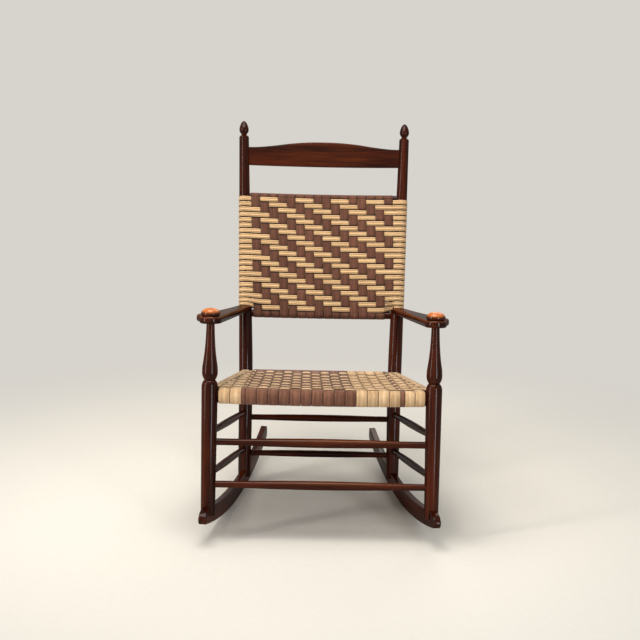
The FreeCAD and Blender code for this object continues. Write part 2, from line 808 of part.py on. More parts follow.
def build():
    """Every node of the chair, in the frame of the seat."""
    nodes = {}
    cutters = {"front_left": [], "front_right": [], "rear_left": [], "rear_right": []}
    sides = (("left", -1), ("right", 1))

    for kind in ("front", "rear"):
        for index, level in enumerate(("lower", "upper")):
            nodes[kind + "_rung_" + level] = [rung(*rung_line(kind, index))]
            space = rung(*rung_line(kind, index), joint_gap)
            for name, side in sides:
                cutters[kind + "_" + name].append(space)
    for name, side in sides:
        for index, level in enumerate(("lower", "upper")):
            nodes[name + "_side_rung_" + level] = [rung(*rung_line(name, index))]
            space = rung(*rung_line(name, index), joint_gap)
            cutters["front_" + name].append(space)
            cutters["rear_" + name].append(space)

    front_line = cross_rail_line(0, front_rail_centre, front_post_radius)
    rear_line = cross_rail_line(seat_depth, rear_rail_centre, rear_post_radius)
    nodes["seat_rail_front"] = [seat_rail(*front_line)]
    nodes["seat_rail_rear"] = [seat_rail(*rear_line)]
    for name, side in sides:
        cutters["front_" + name].append(seat_rail(*front_line, joint_gap))
        cutters["rear_" + name].append(seat_rail(*rear_line, joint_gap))
        nodes["seat_rail_" + name] = [seat_rail(*side_rail_line(side))]
        space = seat_rail(*side_rail_line(side), joint_gap)
        cutters["front_" + name].append(space)
        cutters["rear_" + name].append(space)

    low_rail = back_bottom_height + layer + back_rail_radius
    high_rail = back_top_height - layer - back_rail_radius
    for name, height in (("back_rail_bottom", low_rail), ("back_rail_top", high_rail)):
        nodes[name] = [bowed_rail(height)]
        cutters["rear_left"].append(back_rail_tenon(-1, height, joint_gap))
        cutters["rear_right"].append(back_rail_tenon(1, height, joint_gap))
    nodes["top_slat"] = [top_slat()]
    slat_space = top_slat(joint_gap)
    for name in ("slat_pins", "rocker_pegs", "mushroom_caps"):
        nodes[name] = []

    for name, side in sides:
        nodes["rocker_" + name] = [rocker(side)]
        pegs = rocker_pegs(side, peg_radius)
        nodes["rocker_pegs"] += pegs
        peg_spaces = rocker_pegs(side, peg_radius + joint_gap, overrun)
        slot = slot_cutter(side)
        pin = slat_pin(side, slat_pin_radius)
        pin_space = slat_pin(side, slat_pin_radius + joint_gap)
        nodes["slat_pins"].append(pin)
        nodes["top_slat"] = [solid_of(nodes["top_slat"][0].cut(pin_space))]
        nodes["arm_" + name] = [arm(side, rear_post_blank(side, joint_gap))]
        nodes["mushroom_caps"].append(mushroom_cap(side))
        front_cut = cutters["front_" + name] + peg_spaces + [slot]
        rear_cut = cutters["rear_" + name] + peg_spaces + [slot]
        rear_cut += [slat_space, pin_space, arm_tenon(side, joint_gap)]
        nodes["front_post_" + name] = [solid_of(front_post(side).cut(front_cut))]
        nodes["rear_post_" + name] = [solid_of(rear_post_blank(side, 0).cut(rear_cut))]

    field = seat_field_places()
    warps = [seat_warp(left, right) for left, right in field]
    beige = [warp for index, warp in enumerate(warps) if index in seat_beige_warps]
    nodes["seat_warps_brown"] = [warp for index, warp in enumerate(warps) if index not in seat_beige_warps]
    nodes["seat_warps_beige"] = beige + seat_fillers(-1) + seat_fillers(1)
    nodes["seat_wefts"] = seat_wefts()
    nodes["back_warps"] = back_warps()
    nodes["back_wefts"] = back_wefts()
    nodes["seat_padding"] = [seat_padding()]
    nodes["back_padding"] = [back_padding()]
    return nodes


def centre_of_mass(nodes):
    """Centre of mass of the whole chair, in the frame of the seat."""
    total = 0.0
    moment = Vector()
    for name, solids in nodes.items():
        is_wood = not name.endswith(("brown", "beige", "wefts", "warps", "padding"))
        density = wood_density if is_wood else tape_density
        for solid in solids:
            total += solid.Volume * density
            moment += solid.CenterOfMass * (solid.Volume * density)
    return moment / total


def rest_lean(nodes):
    """Angle at which the chair's weight lies right above the point where its rockers touch."""
    weight = centre_of_mass(nodes)
    plan = math.cos(math.radians(side_turn))
    hub = math.sqrt(rocker_radius ** 2 - rocker_low_point ** 2) - rocker_drop
    low = 0.0
    high = math.radians(2 * back_rake)
    for _ in range(balance_steps):
        lean = (low + high) / 2
        roll = math.atan(math.tan(lean) * plan)
        touch_depth = (rocker_low_point + rocker_radius * math.sin(roll)) * plan
        touch_height = hub - rocker_radius * math.cos(roll)
        lead = weight.y - touch_depth + (weight.z - touch_height) * math.tan(lean)
        if lead > 0:
            low = lean
        else:
            high = lean
    return math.degrees(low)


def stand_on_ground(nodes):
    """Lean the whole chair back to its balance and stand it over the origin."""
    lean_angle = rest_lean(nodes)
    lean = Placement(Vector(), Rotation(Vector(1, 0, 0), -lean_angle))
    leaned = {name: [placed(solid, lean) for solid in solids] for name, solids in nodes.items()}
    ends = ("rocker_left", "rocker_right", "rear_post_left", "rear_post_right", "arm_left", "arm_right")
    boxes = [leaned[name][0].optimalBoundingBox(False, False) for name in ends]
    middle_x = (min(box.XMin for box in boxes) + max(box.XMax for box in boxes)) / 2
    middle_y = (min(box.YMin for box in boxes) + max(box.YMax for box in boxes)) / 2
    low_z = min(box.ZMin for box in boxes)
    shift = Placement(Vector(-middle_x, -middle_y, -low_z), Rotation())
    print("lean", round(lean_angle, 3), "shift", shift.Base)
    return {name: [placed(solid, shift) for solid in solids] for name, solids in leaned.items()}


def main():
    """Build the chair and write one file for each node."""
    os.makedirs("parts", exist_ok=True)
    for name, solids in sorted(stand_on_ground(build()).items()):
        shape = solids[0] if len(solids) == 1 else Part.makeCompound(solids)
        shape.exportStep("parts/" + name + ".step")
        print(name, len(shape.Solids), "solids", round(shape.Volume), "mm3", "valid", shape.isValid())


main()
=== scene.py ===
"""Looks of an armed rocking chair in dark stained hickory, with a seat and a back of two-colour woven tape.

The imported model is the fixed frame. Turned, bent and sawn pieces are remade smooth over their solids, and
the tapes, which the solids only hold as plain loops, are woven over and under each other on a loom made of
Geometry Nodes and then laid round their rails and posts.
"""
import logging
import math
from dataclasses import dataclass
from enum import Enum
from typing import Any, Callable, List, Mapping, Optional, Sequence, Tuple, Union

import bmesh
import bpy
import numpy as np
from mathutils import Matrix, Vector


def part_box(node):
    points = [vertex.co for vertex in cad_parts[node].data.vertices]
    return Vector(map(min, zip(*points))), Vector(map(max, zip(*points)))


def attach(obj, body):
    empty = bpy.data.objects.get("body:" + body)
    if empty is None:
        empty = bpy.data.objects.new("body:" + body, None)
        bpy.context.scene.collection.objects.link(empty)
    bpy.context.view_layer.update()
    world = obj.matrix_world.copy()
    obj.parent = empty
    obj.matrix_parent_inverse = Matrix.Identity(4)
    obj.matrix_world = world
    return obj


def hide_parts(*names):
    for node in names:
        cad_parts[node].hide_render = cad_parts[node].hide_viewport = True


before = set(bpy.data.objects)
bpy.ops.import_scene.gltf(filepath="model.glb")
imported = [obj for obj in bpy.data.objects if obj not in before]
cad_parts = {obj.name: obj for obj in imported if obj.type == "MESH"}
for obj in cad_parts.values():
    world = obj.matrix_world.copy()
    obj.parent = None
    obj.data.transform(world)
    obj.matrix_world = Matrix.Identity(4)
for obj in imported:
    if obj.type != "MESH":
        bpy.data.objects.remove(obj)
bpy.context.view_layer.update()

Array = np.ndarray
Colour = Tuple[float, float, float, float]
Inputs = Optional[Mapping[Any, Any]]
Shares = Tuple[Tuple[float, float], ...]
Span = Tuple[float, float]

log = logging.getLogger("rocking_chair")
MM = 0.001
WELD = 0.001 * MM
TAPE_WELD = 0.02 * MM
UPRIGHT = np.array([0.0, 0.0, 1.0])
WOOD_SLOT = "stained_hickory"
SIDES = (("left", -1), ("right", 1))


# Node trees


def operator(operation: str, swapped: bool = False) -> Callable[..., "Wire"]:
    """Operator of a wire that adds one Math node.

    Args:
        operation: the node's own name for it.
        swapped: whether the wire is the second of the two values.

    Returns:
        The operator, as a method of the wire.
    """

    def work(wire: "Wire", *others: "Number") -> "Wire":
        """Add the node on a wire and other values."""
        values = (*others, wire) if swapped else (wire, *others)
        return wire.sheet.math(operation, *values)

    return work


class Wire:
    """One output of a node, whose arithmetic adds Math nodes to its tree."""

    __add__ = __radd__ = operator("ADD")
    __sub__ = operator("SUBTRACT")
    __rsub__ = operator("SUBTRACT", swapped=True)
    __mul__ = __rmul__ = operator("MULTIPLY")
    __truediv__ = operator("DIVIDE")
    __mod__ = operator("FLOORED_MODULO")
    __pow__ = operator("POWER")
    __lt__ = operator("LESS_THAN")
    __gt__ = operator("GREATER_THAN")
    __abs__ = operator("ABSOLUTE")
    floor = operator("FLOOR")
    sine = operator("SINE")

    def __init__(self, sheet: "NodeSheet", socket: bpy.types.NodeSocket) -> None:
        """Wrap a socket of the tree that a sheet holds."""
        self.sheet = sheet
        self.socket = socket

    def eased(self, low: "Number", high: "Number") -> "Wire":
        """Smooth step from 0 at low to 1 at high."""
        inputs = {"Value": self, "From Min": low, "From Max": high}
        return self.sheet.wire("ShaderNodeMapRange", {"interpolation_type": "SMOOTHSTEP"}, inputs)


Number = Union[Wire, float, int]


class NodeSheet:
    """A node tree with one way to add any node to it."""

    def __init__(self, tree: bpy.types.NodeTree) -> None:
        """Work on a tree, emptied first."""
        self.tree = tree
        tree.nodes.clear()

    def add(self, kind: str, settings: Inputs = None, inputs: Inputs = None) -> bpy.types.Node:
        """Add a node.

        Args:
            kind: the node's type name.
            settings: its properties.
            inputs: values or wires for its sockets, by name or number.

        Returns:
            The new node.
        """
        node = self.tree.nodes.new(kind)
        for key, value in (settings or {}).items():
            setattr(node, key, value)
        for key, value in (inputs or {}).items():
            if isinstance(value, Wire):
                self.tree.links.new(value.socket, node.inputs[key])
            else:
                node.inputs[key].default_value = value
        return node

    def wire(
        self, kind: str, settings: Inputs = None, inputs: Inputs = None, output: Union[int, str] = 0
    ) -> Wire:
        """Add a node and return one of its outputs as a wire."""
        return Wire(self, self.add(kind, settings, inputs).outputs[output])

    def math(self, operation: str, *values: Number) -> Wire:
        """Add a Math node on values."""
        return self.wire("ShaderNodeMath", {"operation": operation}, dict(enumerate(values)))

    def vector(self, operation: str, *values: Any, output: Union[int, str] = 0) -> Wire:
        """Add a Vector Math node on vectors."""
        return self.wire("ShaderNodeVectorMath", {"operation": operation}, dict(enumerate(values)), output)

    def joined(self, x: Number, y: Number, z: Number) -> Wire:
        """Vector of three values."""
        return self.wire("ShaderNodeCombineXYZ", None, {0: x, 1: y, 2: z})

    def split(self, vector: Wire) -> Tuple[Wire, Wire, Wire]:
        """Three values of a vector."""
        node = self.add("ShaderNodeSeparateXYZ", None, {0: vector})
        return Wire(self, node.outputs[0]), Wire(self, node.outputs[1]), Wire(self, node.outputs[2])

    def blend(self, factor: Number, first: Any, second: Any) -> Wire:
        """Mix two colours."""
        settings = {"data_type": "RGBA", "blend_type": "MIX", "clamp_factor": True}
        return self.wire("ShaderNodeMix", settings, {0: factor, 6: first, 7: second}, 2)

    def noise(self, vector: Wire, scale: float, detail: float = 3.0, roughness: float = 0.5) -> Wire:
        """Soft noise from 0 to 1 on a vector."""
        inputs = {"Vector": vector, "Scale": scale, "Detail": detail, "Roughness": roughness}
        return self.wire("ShaderNodeTexNoise", {"noise_dimensions": "3D"}, inputs)

    def attribute(self, name: str, output: str = "Fac") -> Wire:
        """A value or vector that the mesh carries."""
        return self.wire("ShaderNodeAttribute", {"attribute_name": name}, None, output)

    def bump(self, height: Wire, strength: float, distance: float) -> Wire:
        """Direction in which a surface faces that rises and falls with a height."""
        inputs = {"Strength": strength, "Distance": distance, "Height": height}
        return self.wire("ShaderNodeBump", None, inputs)


# Finishes


def new_material(name: str) -> Tuple[bpy.types.Material, NodeSheet]:
    """Empty material and the sheet of its tree."""
    material = bpy.data.materials.new(name)
    material.use_nodes = True
    return material, NodeSheet(material.node_tree)


def finish_surface(sheet: NodeSheet, inputs: Mapping[str, Any]) -> None:
    """Feed a Principled shader and send it to the output."""
    shader = sheet.wire("ShaderNodeBsdfPrincipled", None, inputs)
    sheet.add("ShaderNodeOutputMaterial", None, {"Surface": shader})


class Grain(Enum):
    """Where the wood's grain takes its place from."""

    PIECE = "grain"
    ACROSS = "x"
    BACKWARD = "y"


@dataclass(frozen=True)
class StainedHickory:
    """Dark red-brown stain over hickory under a worn varnish, with a lighter orange mixed in by each point's
    rub value: wear on the arms, front rungs and slat, and on the caps' crowns wear with a painted highlight.
    """

    name: str = WOOD_SLOT
    grain: Grain = Grain.PIECE
    deep: Colour = (0.010, 0.0014, 0.0004, 1.0)
    warm: Colour = (0.060, 0.0098, 0.0020, 1.0)
    # Lighter orange of worn finish; on the caps' crowns it is also a painted highlight.
    rubbed_and_lit: Colour = (0.43, 0.122, 0.026, 1.0)
    pore: Colour = (0.004, 0.0008, 0.0004, 1.0)
    figure_scale: float = 34.0
    pore_scale: float = 620.0
    stretch: float = 0.07
    pore_stretch: float = 0.03
    figure_share: float = 0.75
    streak_share: float = 0.35
    warmth_range: Span = (0.40, 0.78)
    pore_range: Span = (0.60, 0.78)
    pore_depth: float = 0.45
    dullness: float = 0.42
    varnish: float = 0.25
    varnish_roughness: float = 0.14

    def make(self) -> bpy.types.Material:
        """Build the material."""
        material, sheet = new_material(self.name)
        if self.grain is Grain.PIECE:
            place = sheet.attribute("grain", "Vector")
            x, y, z = sheet.split(place)
        else:
            place = sheet.wire("ShaderNodeTexCoord", None, None, "Object")
            x, y, z = sheet.split(place)
            x, y, z = (y, z, x) if self.grain is Grain.ACROSS else (z, x, y)
        stretched = sheet.joined(x, y, z * self.stretch)
        figure = sheet.noise(stretched, self.figure_scale, 4.0, 0.55)
        streak = sheet.noise(stretched, self.figure_scale * 6, 3.0, 0.6)
        pores = sheet.noise(sheet.joined(x, y, z * self.pore_stretch), self.pore_scale, 2.0, 0.5)
        warmth = (figure * self.figure_share + streak * self.streak_share).eased(*self.warmth_range)
        colour = sheet.blend(warmth, self.deep, self.warm)
        # Lighter orange mixed in by the rub value: wear, and on the caps' crowns a painted highlight as well.
        rub_and_highlight = sheet.attribute("rub_and_highlight")
        colour = sheet.blend(rub_and_highlight * (0.62 + streak * 0.6), colour, self.rubbed_and_lit)
        dark = pores.eased(*self.pore_range) * self.pore_depth
        colour = sheet.blend(dark, colour, self.pore)
        bump = sheet.bump(1 - dark, 0.12, 0.4 * MM)
        finish_surface(sheet, {
            "Base Color": colour,
            "Roughness": self.dullness + figure * 0.12 - rub_and_highlight * 0.05,
            "Normal": bump,
            "Coat Weight": self.varnish + rub_and_highlight * 0.35,
            "Coat Roughness": self.varnish_roughness,
            "Specular IOR Level": 0.0,
        })
        return material


@dataclass(frozen=True)
class CottonTape:
    """Flat woven cotton webbing with fine lengthwise ribs and a few broader bands, with painted shade where
    it dips under a crossing tape and along its long edges.
    """

    name: str
    colour: Colour
    shadow: Colour
    highlight: Colour
    selvedge: Colour
    # Dark tone of painted shade, where the tape dips under another and along its edges.
    painted_shade: Colour
    width: float
    rib_count: float = 11.0
    band_count: float = 2.0
    band_depth: float = 0.06
    band_shift: float = math.pi / 2 - 0.4
    rib_depth: float = 0.30
    shade_depth: float = 0.28
    streak_scale: float = 900.0
    streak_pull: float = 26.0
    cloud_scale: float = 40.0
    cloud_pull: float = 28.0
    light_range: Span = (0.25, 0.85)
    plain_share: float = 0.84
    # Painted shade: its strength and range where the tape dips, and a thin dark line along each long edge.
    sunk_shade_share: float = 0.92
    sunk_shade_range: Span = (0.05, 0.55)
    rim_shade_share: float = 0.6
    rim_shade_range: Span = (0.90, 1.0)
    thread: float = 1.1 * MM
    sheen: float = 0.15

    def make(self) -> bpy.types.Material:
        """Build the material, which reads the tape's own map: across as a share, along in metres."""
        material, sheet = new_material(self.name)
        across, along, _ = sheet.split(sheet.wire("ShaderNodeUVMap", {"uv_map": "UVMap"}))
        shade = sheet.attribute("shade")
        # Painted shade stored by the loom where the tape dips under another.
        sunk_shade = sheet.attribute("sunk_shade").eased(*self.sunk_shade_range)
        ribs = (across * (self.rib_count * math.tau)).sine() * 0.5 + 0.5
        picks = (along * (math.tau / self.thread) + across * (self.rib_count * math.pi)).sine() * 0.5 + 0.5
        weave = ribs * 0.6 + picks * 0.4
        place = sheet.joined(across * (self.width * self.streak_scale), along * self.streak_pull, shade * 37)
        streak = sheet.noise(place, 1.0, 3.0, 0.6)
        place = sheet.joined(across * (self.width * self.cloud_scale), along * self.cloud_pull, shade * 91)
        cloud = sheet.noise(place, 1.0, 2.0)
        turn = across * (self.band_count * math.tau) + self.band_shift + cloud * 0.8
        bands = turn.sine() * self.band_depth
        edge = (abs(across - 0.5) * 2).eased(self.plain_share, 0.98)
        light = (streak * 0.9 + cloud * 0.5 + bands - 0.20).eased(*self.light_range)
        colour = sheet.blend(light, self.colour, self.highlight)
        dark = (1 - weave) * self.rib_depth + shade * self.shade_depth - bands * 0.5
        colour = sheet.blend(dark, colour, self.shadow)
        colour = sheet.blend(edge * 0.6, colour, self.selvedge)
        # Painted shade: darker where the tape dips under, and a dark line at each long edge.
        rim = (abs(across - 0.5) * 2).eased(*self.rim_shade_range)
        colour = sheet.blend(sunk_shade * self.sunk_shade_share, colour, self.painted_shade)
        colour = sheet.blend(rim * self.rim_shade_share, colour, self.painted_shade)
        bump = sheet.bump(weave * 0.8 + streak * 0.5 + bands, 0.45, 0.5 * MM)
        finish_surface(sheet, {
            "Base Color": colour,
            "Roughness": 0.86 - streak * 0.12,
            "Normal": bump,
            "Sheen Weight": self.sheen,
            "Sheen Roughness": 0.4,
            "Specular IOR Level": 0.2,
        })
        return material


@dataclass(frozen=True)
class FoamPad:
    """Plain open foam of the pads between the two faces of the tape."""

    name: str = "foam_pad"
    colour: Colour = (0.60, 0.50, 0.34, 1.0)
    hollow: Colour = (0.30, 0.22, 0.13, 1.0)
    cell_scale: float = 700.0

    def make(self) -> bpy.types.Material:
        """Build the material."""
        material, sheet = new_material(self.name)
        place = sheet.wire("ShaderNodeTexCoord", None, None, "Object")
        inputs = {"Vector": place, "Scale": self.cell_scale}
        pits = sheet.wire("ShaderNodeTexVoronoi", None, inputs, "Distance").eased(0.1, 0.6)
        bump = sheet.bump(pits, 0.4, 0.8 * MM)
        finish_surface(sheet, {
            "Base Color": sheet.blend(pits, self.hollow, self.colour),
            "Roughness": 0.9,
            "Normal": bump,
        })
        return material


# Meshes


def unit(direction: Sequence[float]) -> Array:
    """Direction of length one."""
    given = np.asarray(direction, float)
    return given / np.linalg.norm(given)


def walk(line: Array) -> Array:
    """Distance walked along a line at each of its points."""
    return np.concatenate([[0], np.cumsum(np.linalg.norm(np.diff(line, axis=0), axis=1))])


def smooth_line(points: Sequence[Sequence[float]], steps: int = 6) -> Array:
    """Smooth line through points.

    Args:
        points: the points to pass, in any number of dimensions.
        steps: spans drawn between each two of them.

    Returns:
        The line's points, with the given ones among them.
    """
    given = np.asarray(points, float)
    if len(given) == 2:
        return given
    padded = np.vstack([2 * given[0] - given[1], given, 2 * given[-1] - given[-2]])
    gaps = np.maximum(np.linalg.norm(np.diff(padded, axis=0), axis=1) ** 0.5, 1e-9)
    knots = np.concatenate([[0], np.cumsum(gaps)])
    line = [given[0]]
    for i in range(1, len(padded) - 2):
        a, b, c, d = padded[i - 1:i + 3]
        ta, tb, tc, td = knots[i - 1:i + 3]
        for t in np.linspace(tb, tc, steps + 1)[1:]:
            ab = (a * (tb - t) + b * (t - ta)) / (tb - ta)
            bc = (b * (tc - t) + c * (t - tb)) / (tc - tb)
            cd = (c * (td - t) + d * (t - tc)) / (td - tc)
            abc = (ab * (tc - t) + bc * (t - ta)) / (tc - ta)
            bcd = (bc * (td - t) + cd * (t - tb)) / (td - tb)
            line.append((abc * (tc - t) + bcd * (t - tb)) / (tc - tb))
    return np.array(line)


def evenly(line: Array, pitch: float) -> Array:
    """Line walked in even steps.

    Args:
        line: its points.
        pitch: length of a step, in metres.

    Returns:
        The new points, with both ends kept.
    """
    walked = walk(line)
    places = np.linspace(0, walked[-1], max(2, int(round(walked[-1] / pitch)) + 1))
    return np.column_stack([np.interp(places, walked, line[:, k]) for k in range(line.shape[1])])


def softened(outline: Array, rounds: int = 2) -> Array:
    """Outline with its corners cut back a little, again and again.

    Args:
        outline: its points.
        rounds: how many times.

    Returns:
        The new points, twice as many after each round.
    """
    points = np.asarray(outline, float)
    for _ in range(rounds):
        following = np.roll(points, -1, axis=0)
        points = np.stack([points * 0.75 + following * 0.25, points * 0.25 + following * 0.75], axis=1)
        points = points.reshape(-1, 2)
    return points


def eased(value: Array, low: float, high: float) -> Array:
    """Smooth step from 0 at low to 1 at high."""
    share = np.clip((np.asarray(value, float) - low) / (high - low), 0, 1)
    return share * share * (3 - 2 * share)


@dataclass(frozen=True)
class Axes:
    """Origin and three unit directions in which a sub-assembly is laid out, in metres."""

    origin: Array
    directions: Array

    def place(self, points: Any) -> Array:
        """Points of the row frame for points laid out along these directions."""
        return self.origin + np.asarray(points, float) @ self.directions

    def moved(self, point: Sequence[float], directions: Sequence[Sequence[float]]) -> "Axes":
        """Axes at a point of these ones, along directions given in these ones."""
        return Axes(self.place(point), np.asarray(directions, float) @ self.directions)


def added(name: str, data: bpy.types.ID) -> bpy.types.Object:
    """New object in the scene."""
    item = bpy.data.objects.new(name, data)
    bpy.context.scene.collection.objects.link(item)
    return item


def new_piece(
    name: str, mesh: bpy.types.Mesh, node: str, material: Optional[bpy.types.Material] = None
) -> bpy.types.Object:
    """Put a finished mesh in the scene as the piece that stands for a CAD node.

    Args:
        name: name of the piece.
        mesh: its mesh.
        node: the CAD node that it replaces.
        material: its finish, where the mesh doesn't have it yet.

    Returns:
        The piece.
    """
    if material:
        mesh.materials.append(material)
    piece = added(name, mesh)
    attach(piece, "root")
    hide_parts(node)
    log.info("%s: %d faces", name, len(mesh.polygons))
    return piece


def worked_in(holder: bpy.types.Object, name: str) -> bpy.types.Mesh:
    """Plain mesh of an object with its modifiers worked in. The object goes.

    Args:
        holder: the object.
        name: name of the mesh.

    Returns:
        The mesh.
    """
    graph = bpy.context.evaluated_depsgraph_get()
    mesh = bpy.data.meshes.new_from_object(holder.evaluated_get(graph))
    bpy.data.objects.remove(holder)
    mesh.name = name
    return mesh


def tidy_mesh(mesh: bpy.types.Mesh, merge: float, sharp: float) -> None:
    """Merge doubles, turn faces outwards, and shade smooth but for sharp edges.

    Args:
        mesh: the mesh.
        merge: distance in metres below which points are one.
        sharp: angle in degrees past which an edge stays sharp.
    """
    work = bmesh.new()
    work.from_mesh(mesh)
    bmesh.ops.remove_doubles(work, verts=work.verts, dist=merge)
    bmesh.ops.recalc_face_normals(work, faces=work.faces)
    work.to_mesh(mesh)
    work.free()
    mesh.shade_smooth()
    mesh.set_sharp_from_angle(angle=math.radians(sharp))


def ring_faces(count: int, around: int) -> List[Tuple[int, ...]]:
    """Quads between closed rings of points, given one ring after another.

    Args:
        count: number of rings.
        around: points in a ring.

    Returns:
        Numbers of the points round each face.
    """
    faces = []
    for row in range(count - 1):
        for k in range(around):
            here = row * around + k
            beside = row * around + (k + 1) % around
            faces.append((here, beside, beside + around, here + around))
    return faces


def grained_mesh(
    name: str, points: Array, faces: Sequence[Tuple[int, ...]], grain: Array, rub_and_highlight: Array, sharp: float
) -> bpy.types.Mesh:
    """Mesh that carries each point's place in the wood's grain and its wear.

    Args:
        name: name of the mesh.
        points: points of the row frame.
        faces: numbers of the points round each face.
        grain: for each point, its place across and along the grain.
        rub_and_highlight: for each point, how far its finish is worn through; on the caps' crowns this is
            also a painted highlight.
        sharp: angle in degrees past which an edge stays sharp.

    Returns:
        The mesh.
    """
    mesh = bpy.data.meshes.new(name)
    mesh.from_pydata([tuple(point) for point in points], [], faces)
    mesh.attributes.new("grain", "FLOAT_VECTOR", "POINT").data.foreach_set("vector", np.ravel(grain))
    mesh.attributes.new("rub_and_highlight", "FLOAT", "POINT").data.foreach_set("value", np.ravel(rub_and_highlight))
    tidy_mesh(mesh, WELD, sharp)
    return mesh


def skinned(
    name: str, rings: Array, grain: Array, rub_and_highlight: Optional[Array] = None, sharp: float = 38.0
) -> bpy.types.Mesh:
    """Closed mesh over rings of points.

    Args:
        name: name of the mesh.
        rings: points of the row frame, one closed ring after another.
        grain: for each point, its place across and along the wood's grain.
        rub_and_highlight: for each point, how far its finish is worn through; on the caps' crowns this is
            also a painted highlight.
        sharp: angle in degrees past which an edge stays sharp.

    Returns:
        The mesh, with its ends closed by fans.
    """
    count, around = rings.shape[:2]
    wear = np.zeros((count, around)) if rub_and_highlight is None else np.asarray(rub_and_highlight, float)
    faces = ring_faces(count, around)
    for row, centre in ((0, count * around), (count - 1, count * around + 1)):
        for k in range(around):
            here = row * around + k
            beside = row * around + (k + 1) % around
            faces.append((beside, here, centre) if row == 0 else (here, beside, centre))
    ends = [0, -1]
    points = np.vstack([rings.reshape(-1, 3), rings[ends].mean(axis=1)])
    marks = np.vstack([grain.reshape(-1, 3), grain[ends].mean(axis=1)])
    wear = np.concatenate([wear.reshape(-1), wear[ends].mean(axis=1)])
    return grained_mesh(name, points, faces, marks, wear, sharp)


def turned(
    name: str,
    centres: Array,
    radii: Sequence[float],
    seed: int,
    rub_and_highlight: Optional[Callable[[Array, Array], Array]] = None,
    sides: int = 56,
) -> bpy.types.Mesh:
    """Round piece along a line.

    Args:
        name: name of the mesh.
        centres: points of the line, in the row frame.
        radii: radius at each point.
        seed: number that sets this piece's own cut of the wood.
        rub_and_highlight: wear from 0 to 1, given the points and the directions in which they face; on the
            caps, wear with a painted highlight.
        sides: points around.

    Returns:
        The mesh.
    """
    centres = np.asarray(centres, float)
    steps = np.gradient(centres, axis=0)
    for index in np.flatnonzero(np.linalg.norm(steps, axis=1) < 1e-9):
        steps[index] = centres[-1] - centres[0]
    heading = steps / np.linalg.norm(steps, axis=1)[:, None]
    side = np.cross(heading, UPRIGHT if abs(heading[0][2]) < 0.7 else [0.0, 1.0, 0.0])
    side /= np.linalg.norm(side, axis=1)[:, None]
    other = np.cross(heading, side)
    angles = np.linspace(0, math.tau, sides, endpoint=False)
    outward = side[:, None] * np.cos(angles)[None, :, None] + other[:, None] * np.sin(angles)[None, :, None]
    reach = np.asarray(radii, float)[:, None, None]
    rings = centres[:, None] + outward * reach
    shift = np.random.default_rng(seed).uniform(-3, 3, 3)
    grain = np.empty_like(rings)
    grain[..., 0] = np.cos(angles)[None] * reach[..., 0] + shift[0]
    grain[..., 1] = np.sin(angles)[None] * reach[..., 0] + shift[1]
    grain[..., 2] = walk(centres)[:, None] + shift[2]
    wear = rub_and_highlight(rings, outward) if rub_and_highlight else None
    return skinned(name, rings, grain, wear)


def cut_line(profile: Sequence[Span], lathe: Axes) -> Tuple[Array, Array]:
    """Centres and radii for a profile of (radius, height) points along a lathe's third direction."""
    table = np.asarray(profile, float)
    centres = lathe.place(np.column_stack([np.zeros(len(table)), np.zeros(len(table)), table[:, 1]]))
    return centres, table[:, 0]


def board(
    name: str, outline: Array, thickness: float, edge: float, plane: Axes, seed: int, rub_and_highlight: float = 0.0
) -> bpy.types.Mesh:
    """Flat board with rounded edges.

    Args:
        name: name of the mesh.
        outline: points round its plan, first along its length.
        thickness: from 0 up along the plane's third direction.
        edge: radius of its edges.
        plane: where the plan lies.
        seed: number that sets this piece's own cut of the wood.
        rub_and_highlight: wear of the upper edges, from 0 to 1.

    Returns:
        The mesh.
    """
    points = np.asarray(outline, float)
    area = np.sum(points[:, 0] * np.roll(points[:, 1], -1) - np.roll(points[:, 0], -1) * points[:, 1])
    if area < 0:
        points = points[::-1]
    before = points - np.roll(points, 1, axis=0)
    after = np.roll(points, -1, axis=0) - points
    before /= np.linalg.norm(before, axis=1)[:, None]
    after /= np.linalg.norm(after, axis=1)[:, None]
    inward = np.column_stack([-(before + after)[:, 1], (before + after)[:, 0]])
    inward /= np.linalg.norm(inward, axis=1)[:, None]
    steps = 5
    turns = np.linspace(0, math.pi / 2, steps + 1)
    insets = np.concatenate([edge * (1 - np.sin(turns)), edge * (1 - np.sin(turns[::-1]))])
    heights = np.concatenate([edge * (1 - np.cos(turns)), thickness - edge * (1 - np.cos(turns[::-1]))])
    local = np.empty((len(insets), len(points), 3))
    local[..., :2] = points[None] + inward[None] * insets[:, None, None]
    local[..., 2] = heights[:, None]
    grain = local[..., [1, 2, 0]] + np.random.default_rng(seed).uniform(-3, 3, 3)
    wear = np.zeros(local.shape[:2])
    wear[steps + 1:] = rub_and_highlight * np.sin(np.linspace(0, math.pi, steps + 1))[:, None]
    count, around = local.shape[:2]
    faces = ring_faces(count, around)
    faces.append(tuple(range(around - 1, -1, -1)))
    faces.append(tuple(range((count - 1) * around, count * around)))
    return grained_mesh(name, plane.place(local.reshape(-1, 3)), faces, grain, wear, 50.0)


def circle_through(
    first: Sequence[float], second: Sequence[float], third: Sequence[float]
) -> Tuple[Array, float]:
    """Centre and radius of the circle through three points of a plane.

    Args:
        first: a point.
        second: a point.
        third: a point.

    Returns:
        The centre and the radius.
    """
    a, b, c = (np.asarray(point, float) for point in (first, second, third))
    rows = 2 * np.array([b - a, c - a])
    centre = np.linalg.solve(rows, np.array([b @ b - a @ a, c @ c - a @ a]))
    return centre, float(np.linalg.norm(a - centre))


# Skeleton


